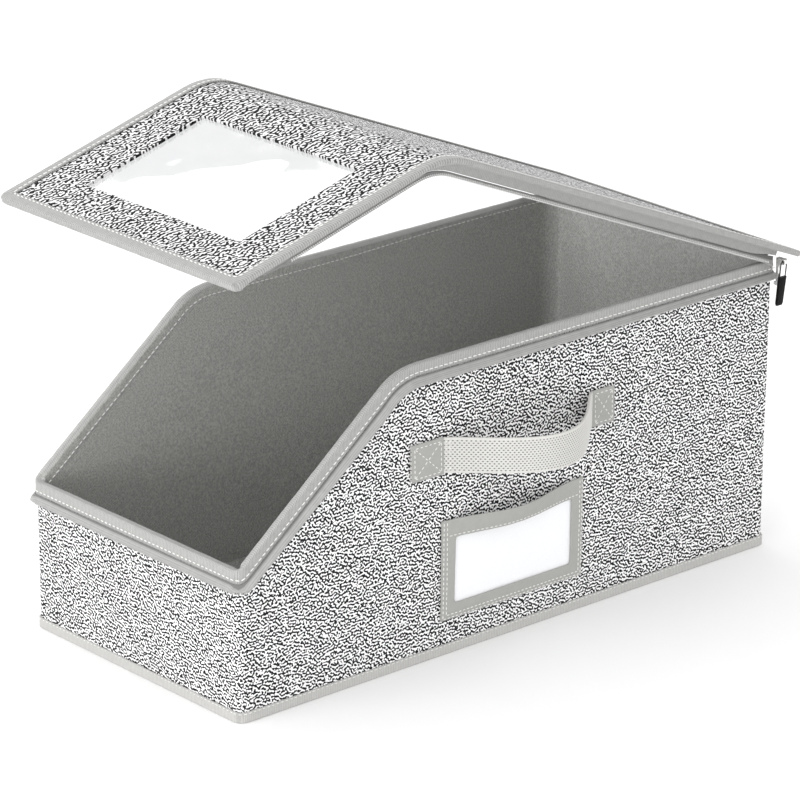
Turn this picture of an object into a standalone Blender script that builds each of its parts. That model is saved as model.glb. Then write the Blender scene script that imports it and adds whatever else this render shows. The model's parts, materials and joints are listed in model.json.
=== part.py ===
"""Fabric storage box: low front, sloping top, hinged lid with a clear window, strap and card pocket.

Metres, +Z up. The box stands on z = 0 with its middle over the origin, its low front towards -Y
and its lid hinged at the rear, on +Y. The strap and the card pocket are on the +X side.
"""
import math

import bmesh
import bpy
from mathutils import Vector

# Body
BOX_WIDTH = 0.2066
BOX_LENGTH = 0.4528
FRONT_HEIGHT = 0.1003
REAR_HEIGHT = 0.2014
FLAT_TOP = 0.3254
REAR_LEAN = 0.0028
WALL_BULGE = 0.0015
CORNER_RADIUS = 0.0056
BEND_RADIUS = 0.045
BOARD = 0.0023
LINING = 0.001

# Gap left between pieces that touch on the real box
GAP = 0.0003

# Binding over the rim and round the base
BINDING = 0.001
RIM_BINDING_DROP = 0.0084
RIM_CLEARANCE = 0.0008
RIM_CROWN = 0.0009
BASE_BINDING_HEIGHT = 0.007

# Zip tapes
TAPE = 0.001
LOWER_TAPE_FLARE = 0.0042
LOWER_TAPE_DROP = 0.0074
TAPE_CORNER_PULL = 0.7
UPPER_TAPE_FLARE = 0.0026
UPPER_TAPE_DROP = 0.0062
UPPER_TAPE_FOLD_START = 0.039
UPPER_TAPE_FOLD_END = 0.011

# Lid
OPEN_ANGLE = math.radians(22.5)
LID_RISE = 0.0057
LID_SIDE_LIP = 0.0139
LID_SHIFT = 0.0035
LID_FRONT_LIP = 0.0071
LID_REAR_LIP = 0.0072
LID_CORNER = 0.005
LID_BOARD = 0.0017
LID_BINDING = 0.0009
LID_BINDING_TOP = 0.0085
LID_BINDING_UNDER = 0.006
SKIRT = 0.001
SKIRT_OVERLAP = 0.0028
SKIRT_SET_BACK = 0.002
HINGE_RISE = 0.0011
HINGE_ROLL = 0.0006
HINGE_ROLL_INSET = 0.009

# Window in the lid's sloping part
WINDOW_WIDTH = 0.150
WINDOW_LENGTH = 0.097
WINDOW_FROM_EDGE = 0.038
WINDOW_SHIFT = 0.0045
WINDOW_CORNER = 0.002
FILM = 0.0006
FILM_HEM = 0.007

# Strap
STRAP_WIDTH = 0.0236
STRAP = 0.0018
STRAP_SPAN = 0.127
STRAP_REACH = 0.0425
STRAP_PAD_FRONT = 0.0262
STRAP_PAD_REAR = 0.0173
STRAP_HEIGHT = 0.1364
STRAP_SHIFT = -0.0007
STRAP_SOFTNESS = 1.15

# Card pocket
POCKET_WIDTH = 0.1212
POCKET_HEIGHT = 0.0685
POCKET_BOTTOM = 0.0235
POCKET_SHIFT = -0.0042
POCKET_SHEET = 0.001
POCKET_BORDER = 0.0107
POCKET_TOP_BORDER = 0.0125
POCKET_BULGE = 0.012
POCKET_BULGE_SKEW = 0.92
POCKET_BULGE_SOFTNESS = 2.4
POCKET_BULGE_GROWTH = 2
POCKET_TUCK = 0.004
CARD = 0.0005
CARD_TUCK = 0.003

# Zip slider and its pull
SLIDER_WIDTH = 0.003
SLIDER_PLATE = 0.0022
SLIDER_EYE = 0.0022
SLIDER_EYE_BORE = 0.0011
SLIDER_STANDOFF = 0.008
SLIDER_FOOT = 0.0021
SLIDER_HEIGHT = 0.0185
SLIDER_FROM_CORNER = 0.0022
BAIL_WIRE = 0.001
BAIL_SPREAD = 0.0054
BAIL_LENGTH = 0.0126
PULL_WIDTH = 0.0066
PULL_THICKNESS = 0.0024
PULL_LENGTH = 0.0202
PULL_EDGE = 0.0007
PULL_SOCKET = 0.0025
PULL_LEAN = 0.12

# How finely round stretches are cut
CORNER_STEPS = 4
BEND_STEPS = 6
STRAP_STEPS = 26
ROUND_SIDES = 12
WIRE_SIDES = 8
WIRE_BEND_STEPS = 4
PANE_COLUMNS = 8
PANE_ROWS = 4
BAND_ROWS = 4
SMALLEST_RADIUS = 0.0004

HALF_WIDTH = BOX_WIDTH / 2
FRONT_Y = -BOX_LENGTH / 2
BASE_REAR_Y = BOX_LENGTH / 2
REAR_Y = BASE_REAR_Y + REAR_LEAN
BEND_Y = BASE_REAR_Y - FLAT_TOP
SLOPE = math.atan2(REAR_HEIGHT - FRONT_HEIGHT, BEND_Y - FRONT_Y)
BEND_TANGENT = BEND_RADIUS * math.tan(SLOPE / 2)
WALL_STACK = BOARD + GAP + LINING
LID_WIDTH = BOX_WIDTH + 2 * LID_SIDE_LIP
HINGE = Vector((0, REAR_Y, REAR_HEIGHT + HINGE_RISE))

# Share of the wall's height at each level row below the rim
WALL_ROWS = (0.0, 0.16, 0.36, 0.58, 0.78)

# Shares of the slope and of the flat top where the side walls have an upright row
SLOPE_SHARES = (0.3, 0.6, 0.85)
FLAT_SHARES = (0.22, 0.44, 0.66, 0.84)

# Share of the front and rear walls' width where they have an upright row
END_SHARES = (-0.5, 0.0, 0.5)

# Shares of the lid's flat part and of its slope where it has a crosswise row
LID_FLAT_SHARES = (0.2, 0.45, 0.7, 0.9)
LID_SLOPE_SHARES = (0.25, 0.5, 0.75)

# Crown of the rim binding: share of its height that a shoulder stands in, share that it falls
CROWN_SHOULDER_IN = 0.7
CROWN_SHOULDER_FALL = 0.2

# Round edge of the lid's binding, as a share of its thickness
LID_EDGE_ROUND = 1.3

# Half of the turn that the slider's eye takes round its bore
EYE_TURN = math.radians(125)

# A normal with this much of one axis belongs to a straight wall and not to a rounded corner
STRAIGHT = 0.999

# Lower zip tape, from under the rim binding to its free edge: share of the flare, share of the drop
LOWER_TAPE_CURVE = (
    ("top", 0.16, 0.04),
    ("fall", 0.40, 0.30),
    ("swell", 0.78, 0.56),
    ("crest", 1.00, 0.74),
    ("turn", 0.94, 0.90),
    ("edge", 0.58, 1.00),
)

# Upper zip tape, below the lid's skirt: share of the flare, share of the drop
UPPER_TAPE_CURVE = (
    ("top", 0.0, 0.0),
    ("fall", 0.15, 0.35),
    ("swell", 0.62, 0.72),
    ("edge", 1.0, 1.0),
)

# Moulded pull, from its sockets down: share of its length, share of its width and thickness
PULL_TAPER = (
    ("top", 0.0, 1.0),
    ("shoulder", 0.92, 0.9),
    ("foot", 1.0, 0.74),
)


def clear_scene():
    for thing in list(bpy.data.objects):
        bpy.data.objects.remove(thing, do_unlink=True)


def make_material(name, color, roughness, metallic=0.0, alpha=1.0):
    material = bpy.data.materials.new(name)
    material.use_nodes = True
    shader = material.node_tree.nodes["Principled BSDF"]
    shader.inputs["Base Color"].default_value = (*color, 1.0)
    shader.inputs["Roughness"].default_value = roughness
    shader.inputs["Metallic"].default_value = metallic
    shader.inputs["Alpha"].default_value = alpha
    return material


def add_object(name, bm, material, parent=None):
    """Store a closed mesh as a named object, with its faces pointing outwards."""
    bmesh.ops.recalc_face_normals(bm, faces=bm.faces[:])
    mesh = bpy.data.meshes.new(name)
    bm.to_mesh(mesh)
    bm.free()
    mesh.materials.append(material)
    mesh.shade_smooth()
    mesh.set_sharp_from_angle(angle=math.radians(35))
    thing = bpy.data.objects.new(name, mesh)
    bpy.context.scene.collection.objects.link(thing)
    thing.parent = parent
    return thing


def skin(loops, path_closed=True, section_closed=True):
    """Join loops of points into one closed body.

    The loops follow the path of the piece. A section that isn't closed is capped by its first
    and last loops, and a path that isn't closed is capped by its end sections.
    """
    bm = bmesh.new()
    rows = [[bm.verts.new(point) for point in loop] for loop in loops]
    count = len(rows[0])
    last_row = len(rows) if section_closed else len(rows) - 1
    last_step = count if path_closed else count - 1
    for row in range(last_row):
        near = rows[row]
        far = rows[(row + 1) % len(rows)]
        for step in range(last_step):
            after = (step + 1) % count
            bm.faces.new((near[step], near[after], far[after], far[step]))
    if not section_closed:
        bm.faces.new(rows[0])
        bm.faces.new(rows[-1])
    if not path_closed:
        bm.faces.new([row[0] for row in rows])
        bm.faces.new([row[-1] for row in rows])
    return bm


def sheet(outer, holes=(), cuts=()):
    """Fill a flat outline with holes, and cut it across at the given distances along Y."""
    bm = bmesh.new()
    edges = []
    for loop in (outer, *holes):
        corners = [bm.verts.new((x, y, 0)) for x, y in loop]
        for index, corner in enumerate(corners):
            edges.append(bm.edges.new((corner, corners[(index + 1) % len(corners)])))
    bmesh.ops.triangle_fill(bm, use_beauty=True, use_dissolve=False, edges=edges)
    for cut in cuts:
        everything = bm.verts[:] + bm.edges[:] + bm.faces[:]
        bmesh.ops.bisect_plane(bm, geom=everything, plane_co=(0, cut, 0), plane_no=(0, 1, 0))
    return bm


def thicken(bm, low, high):
    """Turn a flat sheet into a slab from low to high along Z."""
    for vert in bm.verts:
        vert.co.z = low
    grown = bmesh.ops.extrude_face_region(bm, geom=bm.faces[:], use_keep_orig=True)
    for item in grown["geom"]:
        if isinstance(item, bmesh.types.BMVert):
            item.co.z = high
    return bm


def ribbon_section(points, thickness):
    """Closed outline of a strip of the given thickness whose middle follows the points."""
    one_side = []
    other_side = []
    for index, point in enumerate(points):
        before = points[max(index - 1, 0)]
        after = points[min(index + 1, len(points) - 1)]
        along = (Vector(after) - Vector(before)).normalized()
        across = Vector((-along.y, along.x)) * thickness / 2
        one_side.append(Vector(point) + across)
        other_side.append(Vector(point) - across)
    return one_side + other_side[::-1]


def rounded_plan(half_width, near, far, radius, side_places, end_places):
    """Points and outward normals of a rounded rectangle, anticlockwise from the far left corner."""
    points = []
    normals = []

    def corner(center_x, center_y, start):
        for step in range(CORNER_STEPS + 1):
            angle = start + math.pi / 2 * step / CORNER_STEPS
            normal = Vector((math.cos(angle), math.sin(angle), 0))
            points.append(Vector((center_x, center_y, 0)) + normal * radius)
            normals.append(normal)

    def straight(places, normal):
        for x, y in places:
            points.append(Vector((x, y, 0)))
            normals.append(Vector(normal))

    corner(-half_width + radius, far - radius, math.pi / 2)
    straight([(-half_width, y) for y in reversed(side_places)], (-1, 0, 0))
    corner(-half_width + radius, near + radius, math.pi)
    straight([(x * half_width, near) for x in end_places], (0, -1, 0))
    corner(half_width - radius, near + radius, math.pi * 1.5)
    straight([(half_width, y) for y in side_places], (1, 0, 0))
    corner(half_width - radius, far - radius, 0)
    straight([(x * half_width, far) for x in reversed(end_places)], (0, 1, 0))
    return points, normals


def bend_places():
    """Places along Y of the upright rows of the side walls, close together round the bend."""
    slope_start = FRONT_Y + CORNER_RADIUS
    slope_end = BEND_Y - BEND_TANGENT * math.cos(SLOPE)
    flat_start = BEND_Y + BEND_TANGENT
    flat_end = BASE_REAR_Y - CORNER_RADIUS
    places = [slope_start + share * (slope_end - slope_start) for share in SLOPE_SHARES]
    for step in range(BEND_STEPS + 1):
        angle = SLOPE * (1 - step / BEND_STEPS)
        places.append(flat_start - BEND_RADIUS * math.sin(angle))
    places += [flat_start + share * (flat_end - flat_start) for share in FLAT_SHARES]
    return places


def rim_height(y):
    """Height of the rim where the side wall is at y: level front, slope, round bend, flat top."""
    flat_start = BEND_Y + BEND_TANGENT
    slope_end = BEND_Y - BEND_TANGENT * math.cos(SLOPE)
    if y >= flat_start:
        return REAR_HEIGHT
    if y >= slope_end:
        drop = math.sqrt(BEND_RADIUS ** 2 - (flat_start - y) ** 2)
        return REAR_HEIGHT - BEND_RADIUS + drop
    return FRONT_HEIGHT + (y - FRONT_Y) * math.tan(SLOPE)


def bulge(along, upward):
    """How far a soft wall stands out: nothing at its edges, WALL_BULGE at its middle."""
    along = min(max(along, 0.0), 1.0)
    upward = min(max(upward, 0.0), 1.0)
    return WALL_BULGE * math.sin(math.pi * along) * math.sin(math.pi * upward)


def side_wall_x(y, z):
    """Outer face of the +X wall."""
    return HALF_WIDTH + bulge((y - FRONT_Y) / BOX_LENGTH, z / rim_height(y))


class Walls:
    """The plan of the walls, from which the shell, the lining and the trims take their places."""

    def __init__(self):
        places = bend_places()
        self.base, self.normals = rounded_plan(
            HALF_WIDTH, FRONT_Y, BASE_REAR_Y, CORNER_RADIUS, places, END_SHARES)
        self.top, _ = rounded_plan(
            HALF_WIDTH, FRONT_Y, REAR_Y, CORNER_RADIUS, places, END_SHARES)
        self.heights = [rim_height(point.y) for point in self.top]
        self.steepness = [self.steep(index) for index in range(len(self.top))]

    def steep(self, index):
        """How much longer an upright drop is than the same width measured square to the rim."""
        after = (index + 1) % len(self.top)
        run = (self.top[after] - self.top[index - 1]).length
        rise = self.heights[after] - self.heights[index - 1]
        return math.hypot(run, rise) / run

    def stands_out(self, index, z):
        """Bulge at one upright row. The rounded corners keep their place."""
        normal = self.normals[index]
        upward = z / self.heights[index]
        if abs(normal.x) > STRAIGHT:
            return bulge((self.base[index].y - FRONT_Y) / BOX_LENGTH, upward)
        if abs(normal.y) > STRAIGHT:
            return bulge(self.base[index].x / BOX_WIDTH + 0.5, upward)
        return 0.0

    def point(self, index, z, outset):
        """Point of the wall at height z, moved outwards by outset."""
        flat = self.base[index].lerp(self.top[index], z / REAR_HEIGHT)
        flat = flat + self.normals[index] * (outset + self.stands_out(index, z))
        return Vector((flat.x, flat.y, z))

    def row(self, share, outset, floor):
        """Loop round the box at a share of the height between the floor and the rim."""
        return [
            self.point(index, floor + share * (height - floor), outset)
            for index, height in enumerate(self.heights)
        ]

    def below_rim(self, index, drop):
        """Height of a line that runs a drop below the rim, level as far as the front's line goes."""
        return max(self.heights[index] - drop * self.steepness[index], FRONT_HEIGHT - drop)

    def rim_loop(self, outset, drop):
        """Loop that follows the rim, outset from the wall and a drop below the rim."""
        return [
            self.point(index, self.below_rim(index, drop), outset)
            for index in range(len(self.heights))
        ]


def tray(walls, outer, inner, floor_low, floor_high):
    """Open-topped tray between two outsets of the walls, with a floor."""
    edge = BINDING + RIM_CLEARANCE
    loops = [walls.row(share, outer, floor_low) for share in WALL_ROWS]
    loops += [walls.rim_loop(outer, drop) for drop in (RIM_BINDING_DROP, edge)]
    loops += [walls.rim_loop(inner, drop) for drop in (edge, RIM_BINDING_DROP)]
    loops += [walls.row(share, inner, floor_high) for share in reversed(WALL_ROWS)]
    return skin(loops, section_closed=False)


def build_shell(walls, material):
    add_object("box_shell", tray(walls, 0.0, -BOARD, 0.0, BOARD), material)


def build_lining(walls, material):
    outer = -BOARD - GAP
    low = BOARD + GAP
    add_object("box_lining", tray(walls, outer, outer - LINING, low, low + LINING), material)


def build_rim_binding(walls, material):
    """Binding folded over the top edge of wall and lining, with a rounded crown."""
    out = GAP + BINDING
    inside = -WALL_STACK - GAP
    middle = (out + inside - BINDING) / 2
    shoulder_in = RIM_CROWN * CROWN_SHOULDER_IN
    shoulder_fall = RIM_CROWN * CROWN_SHOULDER_FALL
    section = (
        (GAP, RIM_BINDING_DROP),
        (out, RIM_BINDING_DROP),
        (out, RIM_CROWN),
        (out - shoulder_in, shoulder_fall),
        (middle, 0.0),
        (inside - BINDING + shoulder_in, shoulder_fall),
        (inside - BINDING, RIM_CROWN),
        (inside - BINDING, RIM_BINDING_DROP),
        (inside, RIM_BINDING_DROP),
        (inside, BINDING),
        (GAP, BINDING),
    )
    add_object("rim_binding", skin([walls.rim_loop(*place) for place in section]), material)


def zip_stretch(loop, corner_steps_left_out):
    """The part of a loop from one rear corner round the front to the other."""
    end_of_right_corner = len(loop) - len(END_SHARES)
    return loop[corner_steps_left_out:end_of_right_corner - corner_steps_left_out]


def build_lower_tape(walls, material):
    """Half of the zip on the box: it leaves the rim binding and curls outwards."""
    start = RIM_BINDING_DROP + GAP
    middle = GAP + TAPE / 2
    curve = [
        (flare * LOWER_TAPE_FLARE, drop * LOWER_TAPE_DROP)
        for _, flare, drop in LOWER_TAPE_CURVE
    ]
    loops = []
    for flare, drop in ribbon_section(curve, TAPE):
        loop = []
        for index, normal in enumerate(walls.normals):
            tight = 1 - (1 - max(abs(normal.x), abs(normal.y))) * TAPE_CORNER_PULL
            outset = middle + flare * tight
            loop.append(walls.point(index, walls.below_rim(index, start + drop * tight), outset))
        loops.append(zip_stretch(loop, CORNER_STEPS // 2))
    add_object("lower_zip_tape", skin(loops, path_closed=False), material)


def build_base_binding(walls, material):
    section = (
        (GAP, GAP),
        (GAP + BINDING, GAP),
        (GAP + BINDING, BASE_BINDING_HEIGHT - BINDING / 2),
        (GAP + BINDING / 2, BASE_BINDING_HEIGHT),
        (GAP, BASE_BINDING_HEIGHT),
    )
    count = len(walls.base)
    loops = [
        [walls.point(index, height, outset) for index in range(count)]
        for outset, height in section
    ]
    add_object("base_binding", skin(loops), material)


def strap_path():
    """Middle line of the strap seen from above: two flat ends and a bow between them."""
    seat = GAP + STRAP / 2
    first = STRAP_SHIFT - STRAP_SPAN / 2
    last = STRAP_SHIFT + STRAP_SPAN / 2
    path = []
    for y in (first - STRAP_PAD_FRONT, first - STRAP_PAD_FRONT / 2):
        path.append(Vector((side_wall_x(y, STRAP_HEIGHT) + seat, y)))
    for step in range(STRAP_STEPS + 1):
        share = step / STRAP_STEPS
        y = first + share * STRAP_SPAN
        bow = max(math.sin(math.pi * share), 0.0) ** STRAP_SOFTNESS
        path.append(Vector((side_wall_x(y, STRAP_HEIGHT) + seat + STRAP_REACH * bow, y)))
    for y in (last + STRAP_PAD_REAR / 2, last + STRAP_PAD_REAR):
        path.append(Vector((side_wall_x(y, STRAP_HEIGHT) + seat, y)))
    return path


def build_strap(material):
    outline = ribbon_section(strap_path(), STRAP)
    low = STRAP_HEIGHT - STRAP_WIDTH / 2
    high = STRAP_HEIGHT + STRAP_WIDTH / 2
    half = len(outline) // 2
    loops = []
    for index in range(half):
        outer = outline[index]
        inner = outline[-1 - index]
        loops.append((
            Vector((outer.x, outer.y, low)),
            Vector((outer.x, outer.y, high)),
            Vector((inner.x, inner.y, high)),
            Vector((inner.x, inner.y, low)),
        ))
    rails = [[loop[rail] for loop in loops] for rail in range(4)]
    add_object("carrying_strap", skin(rails, path_closed=False), material)


def pocket_point(y, z, lift):
    """Point in front of the wall where the pocket stands off towards its open top."""
    across = min(max((y - POCKET_SHIFT) / POCKET_WIDTH + 0.5, 0.0), 1.0)
    upward = max((z - POCKET_BOTTOM) / POCKET_HEIGHT, 0.0)
    crosswise = max(math.sin(math.pi * across ** POCKET_BULGE_SKEW), 0.0) ** POCKET_BULGE_SOFTNESS
    bow = POCKET_BULGE * crosswise * upward ** POCKET_BULGE_GROWTH
    return Vector((side_wall_x(y, z) + lift + bow, y, z))


def pocket_lift(y, z):
    """Height of the pocket's cloth over the wall: flat at its seams, over the card inside them."""
    from_side = POCKET_WIDTH / 2 - abs(y - POCKET_SHIFT)
    from_bottom = z - POCKET_BOTTOM
    share = min(max(min(from_side, from_bottom) / POCKET_TUCK, 0.0), 1.0)
    return GAP + (CARD + GAP) * share


def grid_slab(columns, rows, low_point, high_point, open_cell):
    """Slab on a grid of columns and rows, with the cells that open_cell names left out."""
    bm = bmesh.new()
    low = [[bm.verts.new(low_point(u, v)) for u in columns] for v in rows]
    high = [[bm.verts.new(high_point(u, v)) for u in columns] for v in rows]
    cells = {
        (i, j)
        for i in range(len(columns) - 1)
        for j in range(len(rows) - 1)
        if not open_cell((columns[i] + columns[i + 1]) / 2, (rows[j] + rows[j + 1]) / 2)
    }
    for i, j in cells:
        ring = ((i, j), (i + 1, j), (i + 1, j + 1), (i, j + 1))
        bm.faces.new([low[b][a] for a, b in reversed(ring)])
        bm.faces.new([high[b][a] for a, b in ring])
        beyond = ((i, j - 1), (i + 1, j), (i, j + 1), (i - 1, j))
        for side, neighbour in enumerate(beyond):
            if neighbour in cells:
                continue
            a, b = ring[side]
            c, d = ring[(side + 1) % 4]
            bm.faces.new((low[b][a], low[d][c], high[d][c], high[b][a]))
    loose = [vert for vert in bm.verts if not vert.link_faces]
    bmesh.ops.delete(bm, geom=loose, context="VERTS")
    return bm


def spread(start, end, steps):
    return [start + (end - start) * step / steps for step in range(steps + 1)]


def build_pocket(material):
    """Cloth frame sewn to the wall on three sides, with an opening for the card."""
    left = POCKET_SHIFT - POCKET_WIDTH / 2
    right = POCKET_SHIFT + POCKET_WIDTH / 2
    top = POCKET_BOTTOM + POCKET_HEIGHT
    pane_left = left + POCKET_BORDER
    pane_right = right - POCKET_BORDER
    pane_bottom = POCKET_BOTTOM + POCKET_BORDER
    pane_top = top - POCKET_TOP_BORDER
    columns = [left, left + POCKET_TUCK]
    columns += spread(pane_left, pane_right, PANE_COLUMNS)
    columns += [right - POCKET_TUCK, right]
    rows = [POCKET_BOTTOM, POCKET_BOTTOM + POCKET_TUCK]
    rows += spread(pane_bottom, pane_top, PANE_ROWS)
    rows += spread(pane_top, top, BAND_ROWS)[1:]

    def in_pane(y, z):
        return pane_left < y < pane_right and pane_bottom < z < pane_top

    def back(y, z):
        return pocket_point(y, z, pocket_lift(y, z))

    def front(y, z):
        return pocket_point(y, z, pocket_lift(y, z) + POCKET_SHEET)

    add_object("card_pocket", grid_slab(columns, rows, back, front, in_pane), material)


def build_card(material):
    """Card that stands flat against the wall behind the pocket's opening."""
    left = POCKET_SHIFT - POCKET_WIDTH / 2 + POCKET_BORDER - CARD_TUCK
    right = POCKET_SHIFT + POCKET_WIDTH / 2 - POCKET_BORDER + CARD_TUCK
    bottom = POCKET_BOTTOM + POCKET_BORDER - CARD_TUCK
    top = POCKET_BOTTOM + POCKET_HEIGHT - POCKET_TOP_BORDER + CARD_TUCK

    def back(y, z):
        return Vector((side_wall_x(y, z) + GAP, y, z))

    def front(y, z):
        return Vector((side_wall_x(y, z) + GAP + CARD, y, z))

    def nowhere(y, z):
        return False

    columns = spread(left, right, PANE_COLUMNS)
    slab = grid_slab(columns, spread(bottom, top, PANE_ROWS), back, front, nowhere)
    add_object("label_card", slab, material)


def lid_point(x, along, rise):
    """Place of a point of the closed lid, from the hinge.

    Along is the distance from the rear wall's top edge, forwards over the flat top, round the
    bend and down the slope. Rise is the distance above the rim.
    """
    flat_start = BEND_Y + BEND_TANGENT
    flat_length = REAR_Y - flat_start
    arc_length = BEND_RADIUS * SLOPE
    if along <= flat_length:
        y = REAR_Y - along
        z = REAR_HEIGHT + rise
    elif along <= flat_length + arc_length:
        angle = (along - flat_length) / BEND_RADIUS
        y = flat_start - (BEND_RADIUS + rise) * math.sin(angle)
        z = REAR_HEIGHT - BEND_RADIUS + (BEND_RADIUS + rise) * math.cos(angle)
    else:
        run = along - flat_length - arc_length
        y = flat_start - (BEND_RADIUS + rise) * math.sin(SLOPE) - run * math.cos(SLOPE)
        z = REAR_HEIGHT - BEND_RADIUS + (BEND_RADIUS + rise) * math.cos(SLOPE) - run * math.sin(SLOPE)
    return Vector((x, y, z)) - HINGE


def lid_lengths():
    """Where the bend starts and ends and where the front wall is, along the closed lid."""
    bend_start = REAR_Y - BEND_Y - BEND_TANGENT
    bend_end = bend_start + BEND_RADIUS * SLOPE
    slope_length = (BEND_Y - FRONT_Y) / math.cos(SLOPE) - BEND_TANGENT
    return bend_start, bend_end, bend_end + slope_length


def lid_places():
    """Places of the crosswise rows of the lid, close together round its bend."""
    bend_start, bend_end, front = lid_lengths()
    places = [bend_start * share for share in LID_FLAT_SHARES]
    places += spread(bend_start, bend_end, BEND_STEPS)
    places += [bend_end + (front - bend_end) * share for share in LID_SLOPE_SHARES]
    return places


def lid_loop(half_width, rear, front, radius, shift=0.0):
    """Rounded outline on the lid, as pairs of a place across and a place along."""
    radius = max(radius, SMALLEST_RADIUS)
    places = [-place for place in reversed(lid_places())]
    points, _ = rounded_plan(half_width, -front, -rear, radius, places, END_SHARES)
    return [(point.x + shift, -point.y) for point in points]


def lid_outline(inset):
    """The lid's bound edge, moved inwards by inset."""
    _, _, front = lid_lengths()
    return lid_loop(LID_WIDTH / 2 - inset, inset - LID_REAR_LIP,
                    front + LID_FRONT_LIP - inset, LID_CORNER - inset, LID_SHIFT)


def bend_mesh(bm):
    """Bend a flat sheet whose Z is the rise above the rim to the lid's shape."""
    for vert in bm.verts:
        vert.co = lid_point(*vert.co)
    return bm


def lid_panel_low():
    return LID_RISE + LID_BINDING + GAP


def window_outline(grow):
    """Opening in the sloping part, made larger all round by grow."""
    _, _, front = lid_lengths()
    end = front + LID_FRONT_LIP - WINDOW_FROM_EDGE + grow
    start = end - WINDOW_LENGTH - 2 * grow
    radius = WINDOW_CORNER + grow
    points, _ = rounded_plan(WINDOW_WIDTH / 2 + grow, start, end, radius, (), ())
    return [(point.x + WINDOW_SHIFT, point.y) for point in points]


def build_lid_panel(material, hinge):
    outline = lid_outline(LID_BINDING + GAP)
    slab = sheet(outline, [window_outline(0.0)], lid_places())
    thicken(slab, lid_panel_low(), lid_panel_low() + LID_BOARD)
    add_object("lid_panel", bend_mesh(slab), material, hinge)


def build_window_film(material, hinge):
    slab = sheet(window_outline(FILM_HEM))
    high = lid_panel_low() - GAP
    thicken(slab, high - FILM, high)
    add_object("window_film", bend_mesh(slab), material, hinge)


def build_lid_binding(material, hinge):
    """Binding wrapped round the edge of the lid's panel."""
    low = LID_RISE
    high = lid_panel_low() + LID_BOARD + GAP + LID_BINDING
    round_edge = LID_BINDING * LID_EDGE_ROUND
    section = (
        (LID_BINDING_TOP, high - LID_BINDING),
        (LID_BINDING_TOP, high),
        (round_edge, high),
        (0.0, high - round_edge),
        (0.0, low + round_edge),
        (round_edge, low),
        (LID_BINDING_UNDER, low),
        (LID_BINDING_UNDER, low + LID_BINDING),
        (LID_BINDING, low + LID_BINDING),
        (LID_BINDING, high - LID_BINDING),
    )
    loops = [
        [lid_point(x, along, rise) for x, along in lid_outline(inset)]
        for inset, rise in section
    ]
    add_object("lid_binding", skin(loops), material, hinge)


def skirt_half_width():
    """Middle of the skirt on the sides: it passes outside the rim binding."""
    return HALF_WIDTH + GAP + BINDING + SKIRT_OVERLAP / 2 + SKIRT / 2


def skirt_bottom():
    return HINGE_RISE + HINGE_ROLL + GAP


def skirt_plan(outset):
    """Outline of the skirt on the lid, moved outwards by outset."""
    _, _, front = lid_lengths()
    radius = CORNER_RADIUS + outset
    return lid_loop(skirt_half_width() + outset, -outset, front - SKIRT_SET_BACK + outset, radius)


def skirt_loop(outset, rise):
    """Loop round the skirt: over the rear wall's edge, outside the sides, over the front rim."""
    return [lid_point(x, along, rise) for x, along in skirt_plan(outset)]


def build_skirt(material, hinge):
    """Upright band between the lid's panel and the zip."""
    high = lid_panel_low() - GAP
    low = skirt_bottom()
    half = SKIRT / 2
    section = ((-half, low), (half, low), (half, high), (-half, high))
    add_object("lid_skirt", skin([skirt_loop(*place) for place in section]), material, hinge)


def build_upper_tape(material, hinge):
    """Half of the zip on the lid: long down the sides, short at the front where it is folded up."""
    _, _, front = lid_lengths()
    start = skirt_bottom() - GAP
    curve = [
        (flare * UPPER_TAPE_FLARE, drop * UPPER_TAPE_DROP)
        for _, flare, drop in UPPER_TAPE_CURVE
    ]
    section = ribbon_section(curve, TAPE)
    short = (start - GAP) / UPPER_TAPE_DROP
    long_to = front - UPPER_TAPE_FOLD_START
    short_from = front - UPPER_TAPE_FOLD_END
    loops = []
    for outset, drop in section:
        loop = []
        for (x, along), (middle_x, middle_along) in zip(skirt_plan(outset), skirt_plan(0.0)):
            length = min(max((short_from - middle_along) / (short_from - long_to), 0.0), 1.0)
            size = short + (1 - short) * length
            place_x = middle_x + (x - middle_x) * size
            place_along = middle_along + (along - middle_along) * size
            loop.append(lid_point(place_x, place_along, start - TAPE / 2 * size - drop * size))
        loops.append(zip_stretch(loop, CORNER_STEPS))
    add_object("upper_zip_tape", skin(loops, path_closed=False), material, hinge)


def build_hinge_roll(material):
    """Rolled seam along the rear wall's top edge, on the lid's turning line."""
    half = HALF_WIDTH - HINGE_ROLL_INSET
    loops = []
    for x in (-half, half):
        ring = []
        for side in range(ROUND_SIDES):
            angle = 2 * math.pi * side / ROUND_SIDES
            ring.append(HINGE + Vector((x, HINGE_ROLL * math.cos(angle), HINGE_ROLL * math.sin(angle))))
        loops.append(ring)
    add_object("hinge_seam", skin(loops, section_closed=False), material)


def slider_place():
    """Outer face of the lower tape near the rear corner, where the slider stops."""
    flare = GAP + TAPE + LOWER_TAPE_FLARE
    crest_share = next(drop for name, _, drop in LOWER_TAPE_CURVE if name == "crest")
    crest = RIM_BINDING_DROP + GAP + crest_share * LOWER_TAPE_DROP
    return Vector((HALF_WIDTH + flare, BASE_REAR_Y - SLIDER_FROM_CORNER, REAR_HEIGHT - crest))


def slider_eye_center():
    place = slider_place()
    return Vector((place.x + SLIDER_STANDOFF, place.y, place.z + SLIDER_HEIGHT - SLIDER_EYE))


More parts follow.
